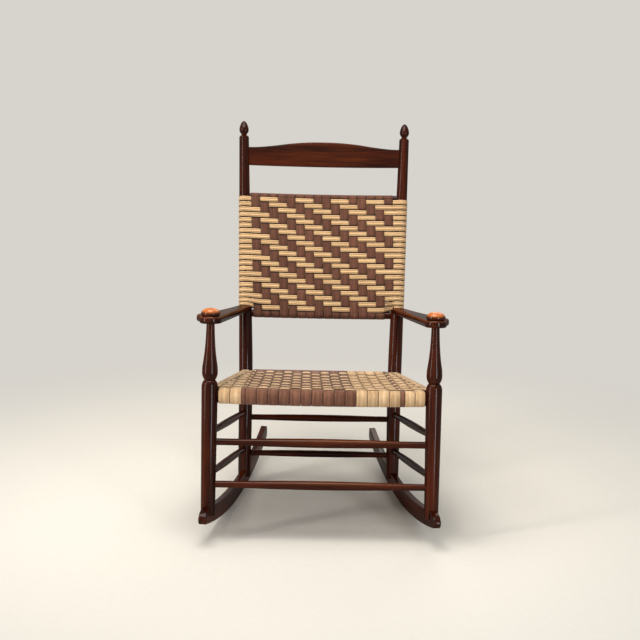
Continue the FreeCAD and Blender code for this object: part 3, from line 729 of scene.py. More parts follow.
@dataclass(frozen=True)
class Skeleton:
    """Driving sizes of the chair, in metres and degrees, as its solids have them."""

    front_spread: float = 0.556
    rear_spread: float = 0.420
    finial_spread: float = 0.471
    seat_depth: float = 0.425
    bend_height: float = 0.292
    bend_radius: float = 0.700
    back_rake: float = 12.0
    back_bow: float = 0.009
    rocker_drop: float = 0.038
    rocker_radius: float = 1.384
    rocker_low_point: float = 0.147
    rocker_depth: float = 0.041
    cheek_depth: float = 0.022
    front_radius: float = 0.0203
    foot_radius: float = 0.0178
    rear_radius: float = 0.0192
    rear_shoulder_radius: float = 0.0140
    back_bottom_drop: float = 0.0159
    back_height: float = 0.365
    slat_gap: float = 0.083
    slat_end_height: float = 0.053
    shoulder_rise: float = 0.0305
    finial_height: float = 0.0495
    arm_height: float = 0.4585
    arm_rear_rise: float = 0.010
    arm_thickness: float = 0.018
    low_rung_height: float = 0.059

    @property
    def arm_tilt(self) -> float:
        """Angle in radians by which an arm rises to the rear."""
        return math.atan2(self.arm_rear_rise, self.seat_depth)

    @property
    def back_bottom(self) -> float:
        """Height of the woven back's lower edge, up the raked back."""
        rise = self.arm_height + self.arm_rear_rise - self.bend_height
        return rise / math.cos(math.radians(self.back_rake)) - self.back_bottom_drop

    @property
    def back_top(self) -> float:
        """Height of the woven back's upper edge."""
        return self.back_bottom + self.back_height

    @property
    def slat_bottom(self) -> float:
        """Height of the slat's lower edge."""
        return self.back_top + self.slat_gap

    @property
    def shoulder_height(self) -> float:
        """Height at which a rear post ends and its finial starts."""
        return self.slat_bottom + self.slat_end_height + self.shoulder_rise

    @property
    def finial_top_height(self) -> float:
        """Height of an acorn's tip."""
        return self.shoulder_height + self.finial_height

    @property
    def half_front(self) -> float:
        """Half the distance between the front posts' axes."""
        return self.front_spread / 2

    @property
    def half_rear(self) -> float:
        """Half the distance between the rear posts' axes at the seat."""
        return self.rear_spread / 2

    @property
    def slant(self) -> float:
        """How far a side of the seat comes in for each metre that it runs back."""
        return (self.half_front - self.half_rear) / self.seat_depth

    @property
    def splay(self) -> float:
        """How far a rear post leans out for each metre that it rises."""
        return (self.finial_spread - self.rear_spread) / 2 / self.finial_top_height

    @property
    def bow_radius(self) -> float:
        """Radius of the back's bow in plan."""
        chord = self.half_rear + (self.back_bottom + self.back_top) / 2 * self.splay
        return (chord ** 2 + self.back_bow ** 2) / (2 * self.back_bow)

    def seat_axes(self) -> Axes:
        """Directions of the seat: right, back and up, from the front posts' foot line."""
        spots = []
        for node in ("front_rung_lower", "front_rung_upper"):
            low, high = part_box(node)
            spots.append(np.array((low + high) / 2))
        up = (spots[1] - spots[0]) / np.linalg.norm(spots[1] - spots[0])
        across = np.array([1.0, 0.0, 0.0])
        origin = spots[0] - up * self.low_rung_height
        return Axes(origin, np.array([across, np.cross(up, across), up]))

    def back_axes(self, seat: Axes) -> Axes:
        """Directions of the raked back: right, out behind it and up along it.

        Args:
            seat: directions of the seat.

        Returns:
            The axes, from where the rear posts bend.
        """
        rake = math.radians(self.back_rake)
        out = (0.0, math.cos(rake), -math.sin(rake))
        up = (0.0, math.sin(rake), math.cos(rake))
        return seat.moved((0, self.seat_depth, self.bend_height), ((1, 0, 0), out, up))

    def post_radius(self, height: Array) -> Array:
        """Radius of a rear post at heights up the raked back."""
        share = np.asarray(height, float) / self.shoulder_height
        return self.rear_radius + (self.rear_shoulder_radius - self.rear_radius) * share

    def post_place(self, height: Array) -> Array:
        """Distance of a rear post's axis from the middle at heights up the raked back."""
        return self.half_rear + np.asarray(height, float) * self.splay

    def bow(self, across: Array) -> Array:
        """How far behind the posts' plane the bowed line of the back lies."""
        reach = np.sqrt(self.bow_radius ** 2 - np.asarray(across, float) ** 2)
        return self.back_bow - self.bow_radius + reach

    def rocker_base(self, along: Array) -> Array:
        """Height of a rocker's underside at distances behind the front post."""
        centre = math.sqrt(self.rocker_radius ** 2 - self.rocker_low_point ** 2) - self.rocker_drop
        away = np.asarray(along, float) - self.rocker_low_point
        return centre - np.sqrt(self.rocker_radius ** 2 - away ** 2)


# Turned and sawn wood


@dataclass
class Posts:
    """The two front posts with their vases and the two bent rear posts with their acorns."""

    bones: Skeleton
    groove_height: float = 0.319
    groove_radius: float = 0.0135
    shoulder_length: float = 0.021
    belly_rise: float = 0.021
    belly_radius: float = 0.0196
    neck_radius: float = 0.0101
    tenon_radius: float = 0.008
    tenon_reach: float = 0.010
    finial_neck_radius: float = 0.0072
    finial_shoulder_drop: float = 0.0065
    finial_neck_rise: float = 0.0015
    acorn_radius: float = 0.0135
    acorn_rise: float = 0.0415
    shoulder_step: float = 0.0011
    neck_step: float = 0.0008
    foot_steps: Shares = ((0.0012, 0.0), (0.0003, 0.0004), (0.0, 0.0015))
    shoulder_shares: Shares = ((1.0, 0.0), (0.93, 0.42), (0.56, 0.78), (0.0, 1.0))
    belly_shares: Shares = ((0.0, 0.0), (0.56, 0.28), (0.93, 0.64), (1.0, 1.0))
    vase_shares: Shares = (
        (1.0, 0.0), (0.94, 0.10), (0.72, 0.22), (0.443, 0.385), (0.196, 0.62), (0.07, 0.82), (0.0, 1.0)
    )
    acorn_shares: Shares = (
        (0.533, 0.0), (0.78, 0.11), (0.98, 0.25), (0.99, 0.42), (0.82, 0.65), (0.46, 0.885), (0.0, 1.0)
    )

    def front_profile(self) -> List[Span]:
        """Radius and height down the length of a front post."""
        bones = self.bones
        foot = float(bones.rocker_base(0.0)) + bones.rocker_depth - bones.cheek_depth
        shoulder = self.groove_height - self.shoulder_length
        belly = self.groove_height + self.belly_rise
        neck = bones.arm_height - self.neck_radius * math.tan(bones.arm_tilt)
        run = [(bones.foot_radius - inset, foot + rise) for inset, rise in self.foot_steps]
        leg = np.array([(bones.foot_radius, foot + 0.002), (bones.front_radius, shoulder)])
        run += [tuple(point) for point in evenly(leg, 0.02)]
        for shares, low, high, start, rise in (
            (self.shoulder_shares, self.groove_radius, bones.front_radius, shoulder, self.shoulder_length),
            (self.belly_shares, self.groove_radius, self.belly_radius, self.groove_height, self.belly_rise),
            (self.vase_shares, self.neck_radius, self.belly_radius, belly, neck - belly),
        ):
            points = [(low + (high - low) * wide, start + rise * up) for wide, up in shares]
            run += [tuple(p) for p in smooth_line(points)[1:]]
        top = bones.arm_height + bones.arm_thickness + self.tenon_reach
        run += [(self.tenon_radius, neck + 0.0002), (self.tenon_radius, top)]
        return run

    def rear_line(self, side: int) -> Tuple[Array, List[float]]:
        """Centres in the seat's axes, and radii, of a rear post from its foot to the tip of its acorn.

        Args:
            side: -1 for the left post, 1 for the right one.

        Returns:
            The centres and the radii.
        """
        bones = self.bones
        rake = math.radians(bones.back_rake)
        lean = unit((side * bones.splay, math.sin(rake), math.cos(rake)))
        bend = math.acos(float(lean @ UPRIGHT))
        tangent = bones.bend_radius * math.tan(bend / 2)
        corner = np.array([side * bones.half_rear, bones.seat_depth, bones.bend_height])
        inward = unit(lean - UPRIGHT * (lean @ UPRIGHT))
        start = corner - UPRIGHT * tangent
        side_run = math.hypot(bones.seat_depth, bones.half_front - bones.half_rear)
        foot = float(bones.rocker_base(side_run)) + bones.rocker_depth - bones.cheek_depth
        base = np.array([start[0], start[1], foot])
        centres = [base + UPRIGHT * rise for _, rise in self.foot_steps]
        radii = [bones.foot_radius - inset for inset, _ in self.foot_steps]
        for share in np.linspace(0.01, 1, 14):
            centres.append(base + (start - base) * share)
            radii.append(bones.foot_radius + (bones.rear_radius - bones.foot_radius) * share)
        for turn in np.linspace(0, bend, 16)[1:]:
            along = UPRIGHT * math.sin(turn) * bones.bend_radius
            centres.append(start + along + inward * (1 - math.cos(turn)) * bones.bend_radius)
            radii.append(bones.rear_radius)
        end = corner + lean * tangent
        shoulder = bones.shoulder_height * float(np.linalg.norm([bones.splay, 1.0])) - tangent
        for share in np.linspace(0, 1, 22)[1:]:
            centres.append(end + lean * shoulder * share)
            radii.append(bones.rear_radius + (bones.rear_shoulder_radius - bones.rear_radius) * share)
        under = shoulder + self.finial_shoulder_drop
        neck = under + self.finial_neck_rise
        acorn = [(self.acorn_radius * wide, neck + self.acorn_rise * up) for wide, up in self.acorn_shares]
        line = [(bones.rear_shoulder_radius - self.shoulder_step, shoulder + self.neck_step)]
        line.append((self.finial_neck_radius + self.neck_step, under))
        line.append((self.finial_neck_radius, under + self.neck_step))
        line += acorn[:1] + [tuple(point) for point in smooth_line(acorn, 7)[1:]]
        for radius, height in line:
            centres.append(end + lean * height)
            radii.append(radius)
        return np.array(centres), radii

    def build(self, seat: Axes, wood: bpy.types.Material) -> None:
        """Make the four posts."""
        for name, side in SIDES:
            lathe = seat.moved((side * self.bones.half_front, 0, 0), np.eye(3))
            centres, radii = cut_line(self.front_profile(), lathe)
            mesh = turned("front_post_" + name, centres, radii, 11 + side)
            new_piece("turned_front_post_" + name, mesh, "front_post_" + name, wood)
            centres, radii = self.rear_line(side)
            mesh = turned("rear_post_" + name, seat.place(centres), radii, 21 + side)
            new_piece("bent_rear_post_" + name, mesh, "rear_post_" + name, wood)


@dataclass
class Rungs:
    """The eight rungs, each fattest in its middle."""

    bones: Skeleton
    front_heights: Span = (0.059, 0.165)
    rear_heights: Span = (0.069, 0.171)
    side_heights: Span = (0.0825, 0.186)
    front_radii: Span = (0.0085, 0.0115)
    small_radii: Span = (0.0080, 0.0098)
    cross_stop: float = 0.005
    side_stop: float = 0.010
    wear: float = 0.16
    worn_middle: float = 0.06
    worn_reach: Span = (0.02, 0.24)
    swell: Shares = ((0.0, 0.0), (0.1, 0.0), (0.3, 0.68), (0.5, 1.0), (0.7, 0.68), (0.9, 0.0), (1.0, 0.0))

    def build(self, seat: Axes, wood: bpy.types.Material) -> None:
        """Make the eight rungs."""
        bones = self.bones
        front, rear, depth = bones.half_front, bones.half_rear, bones.seat_depth
        lines = {}
        for index, level in enumerate(("lower", "upper")):
            low, high = self.front_heights[index], self.rear_heights[index]
            ends = (-front, 0, low), (front, 0, low)
            lines["front_rung_" + level] = ends + (self.cross_stop, self.front_radii)
            ends = (-rear, depth, high), (rear, depth, high)
            lines["rear_rung_" + level] = ends + (self.cross_stop, self.small_radii)
            low = self.side_heights[index]
            for name, side in SIDES:
                ends = (side * front, 0, low), (side * rear, depth, low)
                lines[name + "_side_rung_" + level] = ends + (self.side_stop, self.small_radii)
        for seed, (name, (start, end, stop, radii)) in enumerate(lines.items()):
            first, last = seat.place([start, end])
            length = float(np.linalg.norm(last - first))
            run = smooth_line(self.swell, 8)
            along = (stop + run[:, 0] * (length - 2 * stop)) / length
            centres = first + (last - first) * along[:, None]
            sizes = radii[0] + (radii[1] - radii[0]) * np.clip(run[:, 1], 0, 1)
            wear = self.worn if name.startswith("front") else None
            mesh = turned(name, centres, sizes, 40 + seed, wear, 40)
            new_piece("turned_" + name, mesh, name, wood)

    def worn(self, points: Array, facing: Array) -> Array:
        """Wear where feet rest: the tops of the front rungs, most in the middle."""
        middle = 1 - eased(np.abs(points[..., 0] - self.worn_middle), *self.worn_reach)
        return self.wear * eased(facing[..., 2], 0.0, 0.9) * middle


@dataclass
class Rockers:
    """The two sawn rockers, each with a rounded nose."""

    bones: Skeleton
    thickness: float = 0.019
    tail_depth: float = 0.034
    toe_reach: float = 0.062
    tail_reach: float = 0.709
    tail_bulge: float = 0.004
    edge: float = 0.0024
    middle_share: float = 0.7
    nose_heel_share: float = 0.9
    nose_shares: Shares = ((0.62, 0.09), (0.87, 0.28), (1.0, 0.55), (0.95, 0.78))

    def outline(self) -> Array:
        """Side view of a rocker: nose, underside, tail and top."""
        bones = self.bones
        front = -bones.foot_radius
        top = float(bones.rocker_base(front)) + bones.rocker_depth
        nose = [(front, top)]
        for reach, drop in self.nose_shares:
            nose.append((-self.toe_reach * reach, top - bones.rocker_depth * drop))
        toe = -self.toe_reach * self.nose_heel_share
        nose.append((toe, float(bones.rocker_base(toe))))
        along = np.linspace(toe, self.tail_reach, 90)
        under = np.column_stack([along, bones.rocker_base(along)])
        tail = float(bones.rocker_base(self.tail_reach))
        end = [(self.tail_reach, tail), (self.tail_reach + self.tail_bulge, tail + self.tail_depth / 2)]
        end.append((self.tail_reach, tail + self.tail_depth))
        middle = bones.seat_depth * self.middle_share
        crown = (middle, float(bones.rocker_base(middle)) + bones.rocker_depth)
        centre, radius = circle_through(end[-1], crown, nose[0])
        span = np.linspace(self.tail_reach, front, 90)
        upper = np.column_stack([span, centre[1] - np.sqrt(radius ** 2 - (span - centre[0]) ** 2)])
        runs = [evenly(smooth_line(nose, 8), 0.004)[:-1], under[:-1], smooth_line(end, 8)[:-1], upper[:-1]]
        return softened(evenly(np.vstack(runs + [runs[0][:1]]), 0.0035)[:-1], 2)

    def build(self, seat: Axes, wood: bpy.types.Material) -> None:
        """Make both rockers."""
        bones = self.bones
        outline = self.outline()
        for name, side in SIDES:
            back = unit((-side * bones.slant, 1.0, 0.0))
            wide = np.cross(back, UPRIGHT)
            corner = np.array([side * bones.half_front, 0, 0]) - wide * self.thickness / 2
            plane = seat.moved(corner, (back, UPRIGHT, wide))
            mesh = board("rocker_" + name, outline, self.thickness, self.edge, plane, 60 + side)
            new_piece("sawn_rocker_" + name, mesh, "rocker_" + name, wood)


@dataclass
class Arms:
    """The two flat arms and the domed caps on the posts' tenons above them."""

    bones: Skeleton
    disc_radius: float = 0.0276
    ear_reach: float = 0.0495
    ear_place: float = 0.062
    tail_half_width: float = 0.0165
    edge: float = 0.0058
    end_setback: float = 0.010
    disc_turn: float = 62.0
    cap_radius: float = 0.024
    cap_height: float = 0.021
    # Share of a cap's height over which its crown is painted lighter: wear and a painted highlight.
    cap_worn_and_lit: Span = (0.45, 0.82)
    # Wear of the arms' upper edges, carried in the same value that paints the caps' highlight.
    rub_and_highlight: float = 0.10
    rise_shares: Shares = ((0.46, 0.56), (0.66, 0.80), (1.0, 1.0))
    fall_shares: Shares = ((0.14, 0.86), (0.36, 0.42), (0.66, 0.13))
    cap_shares: Shares = (
        (0.80, 0.0), (0.88, 0.005), (0.97, 0.11), (1.0, 0.34), (0.90, 0.62), (0.62, 0.86), (0.30, 0.97),
        (0.0, 1.0),
    )

    def outline(self, length: float, out: int) -> Array:
        """Plan of an arm: round front, flared ear on its outer side, long taper to the rear.

        Args:
            length: from the front post's axis to the rear end.
            out: 1 or -1, the side of the ear.

        Returns:
            Points round the plan.
        """
        turn = math.radians(self.disc_turn)
        angles = np.linspace(-math.pi / 2, -math.tau + turn, 30)
        disc = np.column_stack([self.disc_radius * np.cos(angles), self.disc_radius * np.sin(angles)])
        ear = [(self.disc_radius * math.cos(turn), self.disc_radius * math.sin(turn))]
        ear += [(self.ear_place * place, self.ear_reach * reach) for place, reach in self.rise_shares]
        for place, reach in self.fall_shares:
            width = self.tail_half_width + (self.ear_reach - self.tail_half_width) * reach
            ear.append((self.ear_place + (length - self.ear_place) * place, width))
        ear.append((length, self.tail_half_width))
        outer = evenly(smooth_line(ear, 10), 0.004)
        tail = np.array([(length, self.tail_half_width), (length, -self.tail_half_width)])
        inner = evenly(np.array([(length, -self.tail_half_width), (0.0, -self.disc_radius)]), 0.006)
        runs = np.vstack([disc[:-1], outer[:-1], evenly(tail, 0.006)[:-1], inner[:-1]])
        plan = softened(runs, 1)
        return plan * np.array([1.0, float(out)])

    def cap_wear_and_highlight(self, points: Array, facing: Array) -> Array:
        """Wear of a cap's crown, where a hand rests, together with a painted highlight: the crown painted
        lighter and oranger towards its top.
        """
        height = points[..., 2]
        share = (height - height.min()) / (height.max() - height.min())
        return eased(share, *self.cap_worn_and_lit)

    def build(self, seat: Axes, wood: bpy.types.Material) -> None:
        """Make both arms and both caps."""
        bones = self.bones
        rake = math.radians(bones.back_rake)
        height = bones.arm_height + bones.arm_rear_rise + bones.arm_thickness / 2
        rise = (height - bones.bend_height) / math.cos(rake)
        caps = []
        for name, side in SIDES:
            target = np.array([side * bones.post_place(rise), bones.seat_depth + rise * math.sin(rake)])
            run = target - np.array([side * bones.half_front, 0.0])
            level = np.array([run[0], run[1], 0.0]) / float(np.linalg.norm(run))
            back = level * math.cos(bones.arm_tilt) + UPRIGHT * math.sin(bones.arm_tilt)
            up = UPRIGHT * math.cos(bones.arm_tilt) - level * math.sin(bones.arm_tilt)
            plane = seat.moved((side * bones.half_front, 0, bones.arm_height), (back, np.cross(up, back), up))
            length = float(np.linalg.norm(run)) - self.end_setback
            plan = self.outline(length, -side)
            mesh = board("arm_" + name, plan, bones.arm_thickness, self.edge, plane, 70 + side, self.rub_and_highlight)
            new_piece("shaped_arm_" + name, mesh, "arm_" + name, wood)
            shares = smooth_line(self.cap_shares[1:], 7)
            profile = [(self.cap_radius * self.cap_shares[0][0], bones.arm_thickness)]
            for wide, tall in shares:
                profile.append((self.cap_radius * wide, bones.arm_thickness + self.cap_height * tall))
            centres, radii = cut_line(profile, plane)
            # Each cap's crown carries wear and a painted highlight, lighter towards its top.
            caps.append(turned("cap_" + name, centres, radii, 80 + side, self.cap_wear_and_highlight))
        work = bmesh.new()
        for mesh in caps:
            work.from_mesh(mesh)
        both = bpy.data.meshes.new("mushroom_caps")
        work.to_mesh(both)
        work.free()
        both.shade_smooth()
        new_piece("domed_mushroom_caps", both, "mushroom_caps", wood)


@dataclass
class TopSlat:
    """The bowed slat with a low crest between the tops of the rear posts."""

    bones: Skeleton
    crest: float = 0.021
    thickness: float = 0.009
    inset: float = 0.005
    edge: float = 0.0018
    wear: float = 0.018
    worn_reach: Span = (0.07, 0.19)
    crest_shares: Shares = ((1.0, 0.0), (0.86, 0.07), (0.64, 0.36), (0.42, 0.73), (0.2, 0.95), (0.0, 1.0))

    def build(self, back: Axes, wood: bpy.types.Material) -> None:
        """Make the slat from rounded sections along its bow."""
        bones = self.bones
        half = float(bones.post_place(bones.slat_bottom)) - self.inset
        table = [(-across, rise) for across, rise in self.crest_shares]
        table += [(across, rise) for across, rise in reversed(self.crest_shares[:-1])]
        crest = smooth_line(table, 8)
        stations = np.linspace(-1, 1, 61)
        rises = np.interp(stations, crest[:, 0], crest[:, 1])
        turns = np.linspace(0, math.pi / 2, 5)
        rings = np.empty((len(stations), 4 * len(turns) + 12, 3))
        grain = np.empty_like(rings)
        for index, (share, rise) in enumerate(zip(stations, rises)):
            height = bones.slat_end_height + self.crest * rise
            corners = []
            for k, (sx, sz) in enumerate(((1, 1), (-1, 1), (-1, -1), (1, -1))):
                middle = np.array([sx * (self.thickness / 2 - self.edge), sz * (height / 2 - self.edge)])
                spin = turns + k * math.pi / 2
                corners.append(middle + self.edge * np.column_stack([np.cos(spin), np.sin(spin)]))
            face = np.linspace(0, 1, 8)[1:-1][:, None]
            rear = corners[3][-1] * (1 - face) + corners[0][0] * face
            fore = corners[1][-1] * (1 - face) + corners[2][0] * face
            section = np.vstack([corners[0], corners[1], fore, corners[2], corners[3], rear])
            across = share * half
            tilt = across / bones.bow_radius
            centre_height = bones.slat_bottom + height / 2
            rings[index, :, 0] = across + section[:, 0] * math.sin(tilt)
            rings[index, :, 1] = float(bones.bow(across)) + section[:, 0] * math.cos(tilt)
            rings[index, :, 2] = centre_height + section[:, 1]
            grain[index, :, 0] = section[:, 0] + 1.3
            grain[index, :, 1] = centre_height + section[:, 1]
            grain[index, :, 2] = across
        spots = back.place(rings.reshape(-1, 3)).reshape(rings.shape)
        streak = self.wear * (1 - eased(np.abs(grain[..., 2]), *self.worn_reach))
        mesh = skinned("top_slat", spots, grain, streak, 50.0)
        new_piece("bowed_top_slat", mesh, "top_slat", wood)


# Loom


@dataclass(frozen=True)
class Weave:
    """Sizes and rule of one set of tapes on the loom. Lengths along a tape count the tapes it crosses."""

    strips: int
    crossings: int
    fold: float
    length: float
    pitch: float
    period: int = 2
    run: int = 1
    direction: int = 1
    offset: int = 0
    face: int = 1
    lift: float = 0.8 * MM
    blend: float = 0.5
    crown: float = 0.25 * MM
    wander: float = 0.012
    edge: float = 1.0
    # How much painted shade the tape gets along its long edges.
    rim: float = 0.0
    fill: float = 0.96
    steps: int = 6
    across: int = 5
    seed: int = 1


class Loom:
    """Geometry Nodes tree that lays tapes side by side and lifts them over and under the ones they cross.

    A tape is one unit wide and its length counts crossings. Past the fold the tape comes back on the other
    face, where it meets the same crossings in turn.
    """

    floats = (
        "Fold", "Length", "Pitch", "Direction", "Offset", "Face", "Lift", "Blend", "Crown", "Wander", "Edge",
        "Rim", "Fill"
    )
    whole = ("Strips", "Crossings", "Period", "Run", "Steps", "Across", "Seed")

    def __init__(self) -> None:
        """Build the tree."""
        self.tree = bpy.data.node_groups.new("tape_loom", "GeometryNodeTree")
        interface = self.tree.interface
        for name in self.floats:
            interface.new_socket(name, in_out="INPUT", socket_type="NodeSocketFloat")
        for name in self.whole:
            interface.new_socket(name, in_out="INPUT", socket_type="NodeSocketInt")
        interface.new_socket("Material", in_out="INPUT", socket_type="NodeSocketMaterial")
        interface.new_socket("Geometry", in_out="OUTPUT", socket_type="NodeSocketGeometry")
        self.sheet = NodeSheet(self.tree)
        self.given = self.sheet.add("NodeGroupInput")
        self.weave()

    def input(self, name: str) -> Wire:
        """One of the tree's named inputs."""
        return Wire(self.sheet, self.given.outputs[name])

    def level(self, crossing: Wire, strip: Wire, free: Any) -> Wire:
        """Whether a tape lies over (1) or under (-1) at a crossing.

        Args:
            crossing: number of the crossing.
            strip: number of the tape.
            free: level off the cloth.

        Returns:
            The level.
        """
        step = (crossing - strip) * self.input("Direction") - self.input("Offset")
        over = (step % self.input("Period")) < self.input("Run") - 0.5
        inside = (crossing > -0.5) * (crossing < self.input("Crossings") - 0.5)
        return (over * 2 - 1) * inside * self.input("Face") + (1 - inside) * free

    def weave(self) -> None:
        """Lay the tapes and weave them."""
        sheet, take = self.sheet, self.input
        rows = take("Length") * take("Steps")
        sizes = {"Size X": take("Fill"), "Size Y": take("Length"), "Vertices X": take("Across")}
        sizes["Vertices Y"] = rows + 1
        grid = sheet.add("GeometryNodeMeshGrid", None, sizes)
        scale = sheet.joined(1.0, take("Length") * take("Pitch"), 1.0)
        spread = sheet.vector("MULTIPLY", Wire(sheet, grid.outputs["UV Map"]), scale)
        mapped = sheet.wire(
            "GeometryNodeStoreNamedAttribute",
            {"data_type": "FLOAT2", "domain": "CORNER"},
            {"Geometry": Wire(sheet, grid.outputs["Mesh"]), "Name": "UVMap", "Value": spread},
        )
        middle = sheet.joined(0.5, take("Length") * 0.5, 0.0)
        shifted = sheet.wire("GeometryNodeTransform", None, {"Geometry": mapped, "Translation": middle})
        line = {"Count": take("Strips"), "Start Location": (0.0, 0.0, 0.0), "Offset": (1.0, 0.0, 0.0)}
        beam = sheet.wire("GeometryNodeMeshLine", {"mode": "OFFSET"}, line)
        strung = sheet.wire("GeometryNodeInstanceOnPoints", None, {"Points": beam, "Instance": shifted})
        real = sheet.wire("GeometryNodeRealizeInstances", None, {"Geometry": strung})
        x, y, _ = sheet.split(sheet.wire("GeometryNodeInputPosition"))
        strip = x.floor()
        share = x - strip
        folded = take("Fold") - abs(y - take("Fold"))
        border = (folded + 0.5).floor()
        change = ((folded - border) / take("Blend") + 0.5).eased(0.0, 1.0)
        edge = take("Edge")
        height = self.level(border - 1, strip, edge) * (1 - change) + self.level(border, strip, edge) * change
        shown = self.level(border - 1, strip, 1.0) * (1 - change) + self.level(border, strip, 1.0) * change
        crown = (abs(share - 0.5) * 2) ** 2.5 * take("Crown")
        drift = sheet.noise(sheet.joined(strip * 7.3 + take("Seed"), y * 0.23, 0.0), 1.0, 1.0) - 0.5
        drift = drift * y.eased(0.0, 1.0) * (take("Length") - y).eased(0.0, 1.0)
        seeded = {"Seed": take("Seed"), "ID": strip}
        shade = sheet.wire("FunctionNodeRandomValue", {"data_type": "FLOAT"}, seeded, 1)
        offset = sheet.joined(drift * take("Wander"), 0.0, height * take("Lift") - crown)
        woven = sheet.wire("GeometryNodeSetPosition", None, {"Geometry": real, "Offset": offset})
        stored = {"Geometry": woven, "Name": "shade", "Value": shade}
        kind = {"data_type": "FLOAT", "domain": "POINT"}
        shaded = sheet.wire("GeometryNodeStoreNamedAttribute", kind, stored)
        # Painted shade, stored for the material: 1 where the tape lies under a crossing tape, plus a rise
        # towards its long edges set by Rim.
        under = (1 - shown) * 0.5
        rim = (abs(share - 0.5) * 2) ** 3 * take("Rim")
        stored = {"Geometry": shaded, "Name": "sunk_shade", "Value": under + rim}
        sunk_shade = sheet.wire("GeometryNodeStoreNamedAttribute", kind, stored)
        clad = sheet.wire("GeometryNodeSetMaterial", None, {"Geometry": sunk_shade, "Material": take("Material")})
        sheet.add("NodeGroupOutput", None, {0: clad})

    def run(self, name: str, weave: Weave, material: bpy.types.Material) -> bpy.types.Mesh:
        """Weave one set of tapes flat.

        Args:
            name: name of the mesh.
            weave: its sizes and rule.
            material: its finish.

        Returns:
            A plain mesh: strip and share across in x, crossings along in y, lift in metres in z.
        """
        holder = added(name, bpy.data.meshes.new(name))
        modifier = holder.modifiers.new("loom", "NODES")
        modifier.node_group = self.tree
        for item in self.tree.interface.items_tree:
            if item.item_type != "SOCKET" or item.in_out != "INPUT":
                continue
            if item.name == "Material":
                modifier[item.identifier] = material
            else:
                value = getattr(weave, item.name.lower())
                modifier[item.identifier] = int(value) if item.name in self.whole else float(value)
        return worked_in(holder, name)


Laying = Callable[[Array, Array, Array, Array], Array]


def laid_tape(name: str, flat: bpy.types.Mesh, laying: Laying, thickness: float) -> bpy.types.Mesh:
    """Lay flat woven tapes on the chair and give them their thickness.

    Args:
        name: name of the new mesh.
        flat: the mesh from the loom.
        laying: gives points of the row frame for strip, share across, crossings along and lift.
        thickness: of the tape.

    Returns:
        The finished mesh.
    """
    count = len(flat.vertices)
    spots = np.empty(count * 3)
    flat.vertices.foreach_get("co", spots)
    spots = spots.reshape(-1, 3)
    strip = np.floor(spots[:, 0])
    placed = laying(strip, spots[:, 0] - strip, spots[:, 1], spots[:, 2])
    flat.vertices.foreach_set("co", np.ravel(placed))
    tidy_mesh(flat, TAPE_WELD, 60.0)
    holder = added(name, flat)
    wall = holder.modifiers.new("thickness", "SOLIDIFY")
    wall.thickness = thickness
    wall.offset = 0.0
    return worked_in(holder, name)


def keep_strips(mesh: bpy.types.Mesh, wanted: Array) -> None:
    """Drop the tapes of a flat mesh whose numbers aren't wanted.

    Args:
        mesh: the mesh from the loom.
        wanted: numbers of the tapes that stay.
    """
    work = bmesh.new()
    work.from_mesh(mesh)
    chosen = set(int(k) for k in wanted)
    gone = [vertex for vertex in work.verts if int(math.floor(vertex.co.x)) not in chosen]
    bmesh.ops.delete(work, geom=gone, context="VERTS")
    work.to_mesh(mesh)
    work.free()


STRAIGHT_UNITS = 1.0
TURN_UNITS = 3.0
WRAP_UNITS = 2 * STRAIGHT_UNITS + TURN_UNITS


def wrap(along: Array, count: int) -> Tuple[Array, Array, Array, Array]:
    """Follow a tape over one face of the cloth and round a side of the frame, then back and round the other.

    Args:
        along: crossings walked.
        count: tapes that it crosses on each face.

    Returns:
        The face (1 for the first, -1 for the second), the crossings walked since it began, the share of the
        way from the cloth to the side's axis that the tape has gone, and its turn round the side in radians.
    """
    half = count + WRAP_UNITS
    behind = along >= half
    walked = np.where(behind, along - half, along)
    past = walked - count
    out = np.clip(past / STRAIGHT_UNITS, 0, 1)
    home = np.clip((past - STRAIGHT_UNITS - TURN_UNITS) / STRAIGHT_UNITS, 0, 1)
    turn = np.clip((past - STRAIGHT_UNITS) / TURN_UNITS, 0, 1) * math.pi
    return np.where(behind, -1.0, 1.0), walked, out - home, turn


class Racetrack:
    """Closed path round two equal ovals in a plane, walked along its upper side, round, and back beneath."""

    def __init__(self, near: Span, far: Span, half_width: float, half_height: float) -> None:
        """Lay the path round ovals centred on near and far."""
        near_spot, far_spot = np.asarray(near, float), np.asarray(far, float)
        turns = np.linspace(0, math.pi, 61)
        out = np.column_stack([np.sin(turns) * half_width, np.cos(turns) * half_height])
        facing = np.column_stack([np.sin(turns) / half_width, np.cos(turns) / half_height])
        facing /= np.linalg.norm(facing, axis=1)[:, None]
        path = np.vstack([near_spot + out[:1], far_spot + out, near_spot - out])
        self.normals = np.vstack([facing[:1], facing, -facing])
        self.points = path
        self.walked = walk(path)
        self.top = float(self.walked[1])
        self.turn = float(self.walked[61] - self.walked[1])
        self.length = float(self.walked[-1])

    def at(self, distance: Array) -> Tuple[Array, Array]:
        """Points and outward directions at distances along the path.

        Args:
            distance: distances walked, over and over round the path.

        Returns:
            The points and the directions.
        """
        place = np.mod(distance, self.length)
        spots = np.column_stack([np.interp(place, self.walked, self.points[:, k]) for k in range(2)])
        facing = np.column_stack([np.interp(place, self.walked, self.normals[:, k]) for k in range(2)])
        return spots, facing / np.linalg.norm(facing, axis=1)[:, None]


PAD_RIM = 0.12


def sewn_pad(name: str, rings: Sequence[Array], axes: Axes, foam: bpy.types.Material, node: str) -> None:
    """Args:
        name: name of the piece.
        rings: closed rings of points, from one end of the pad to the other, in the axes.
        axes: where the pad is laid out.
        foam: its finish.
        node: the CAD node that it stands for.
    """
    stack = np.array(rings)
    spots = axes.place(stack.reshape(-1, 3)).reshape(stack.shape)
    mesh = skinned(name, spots, stack, None, 60.0)
    piece = new_piece(name, mesh, node, foam)


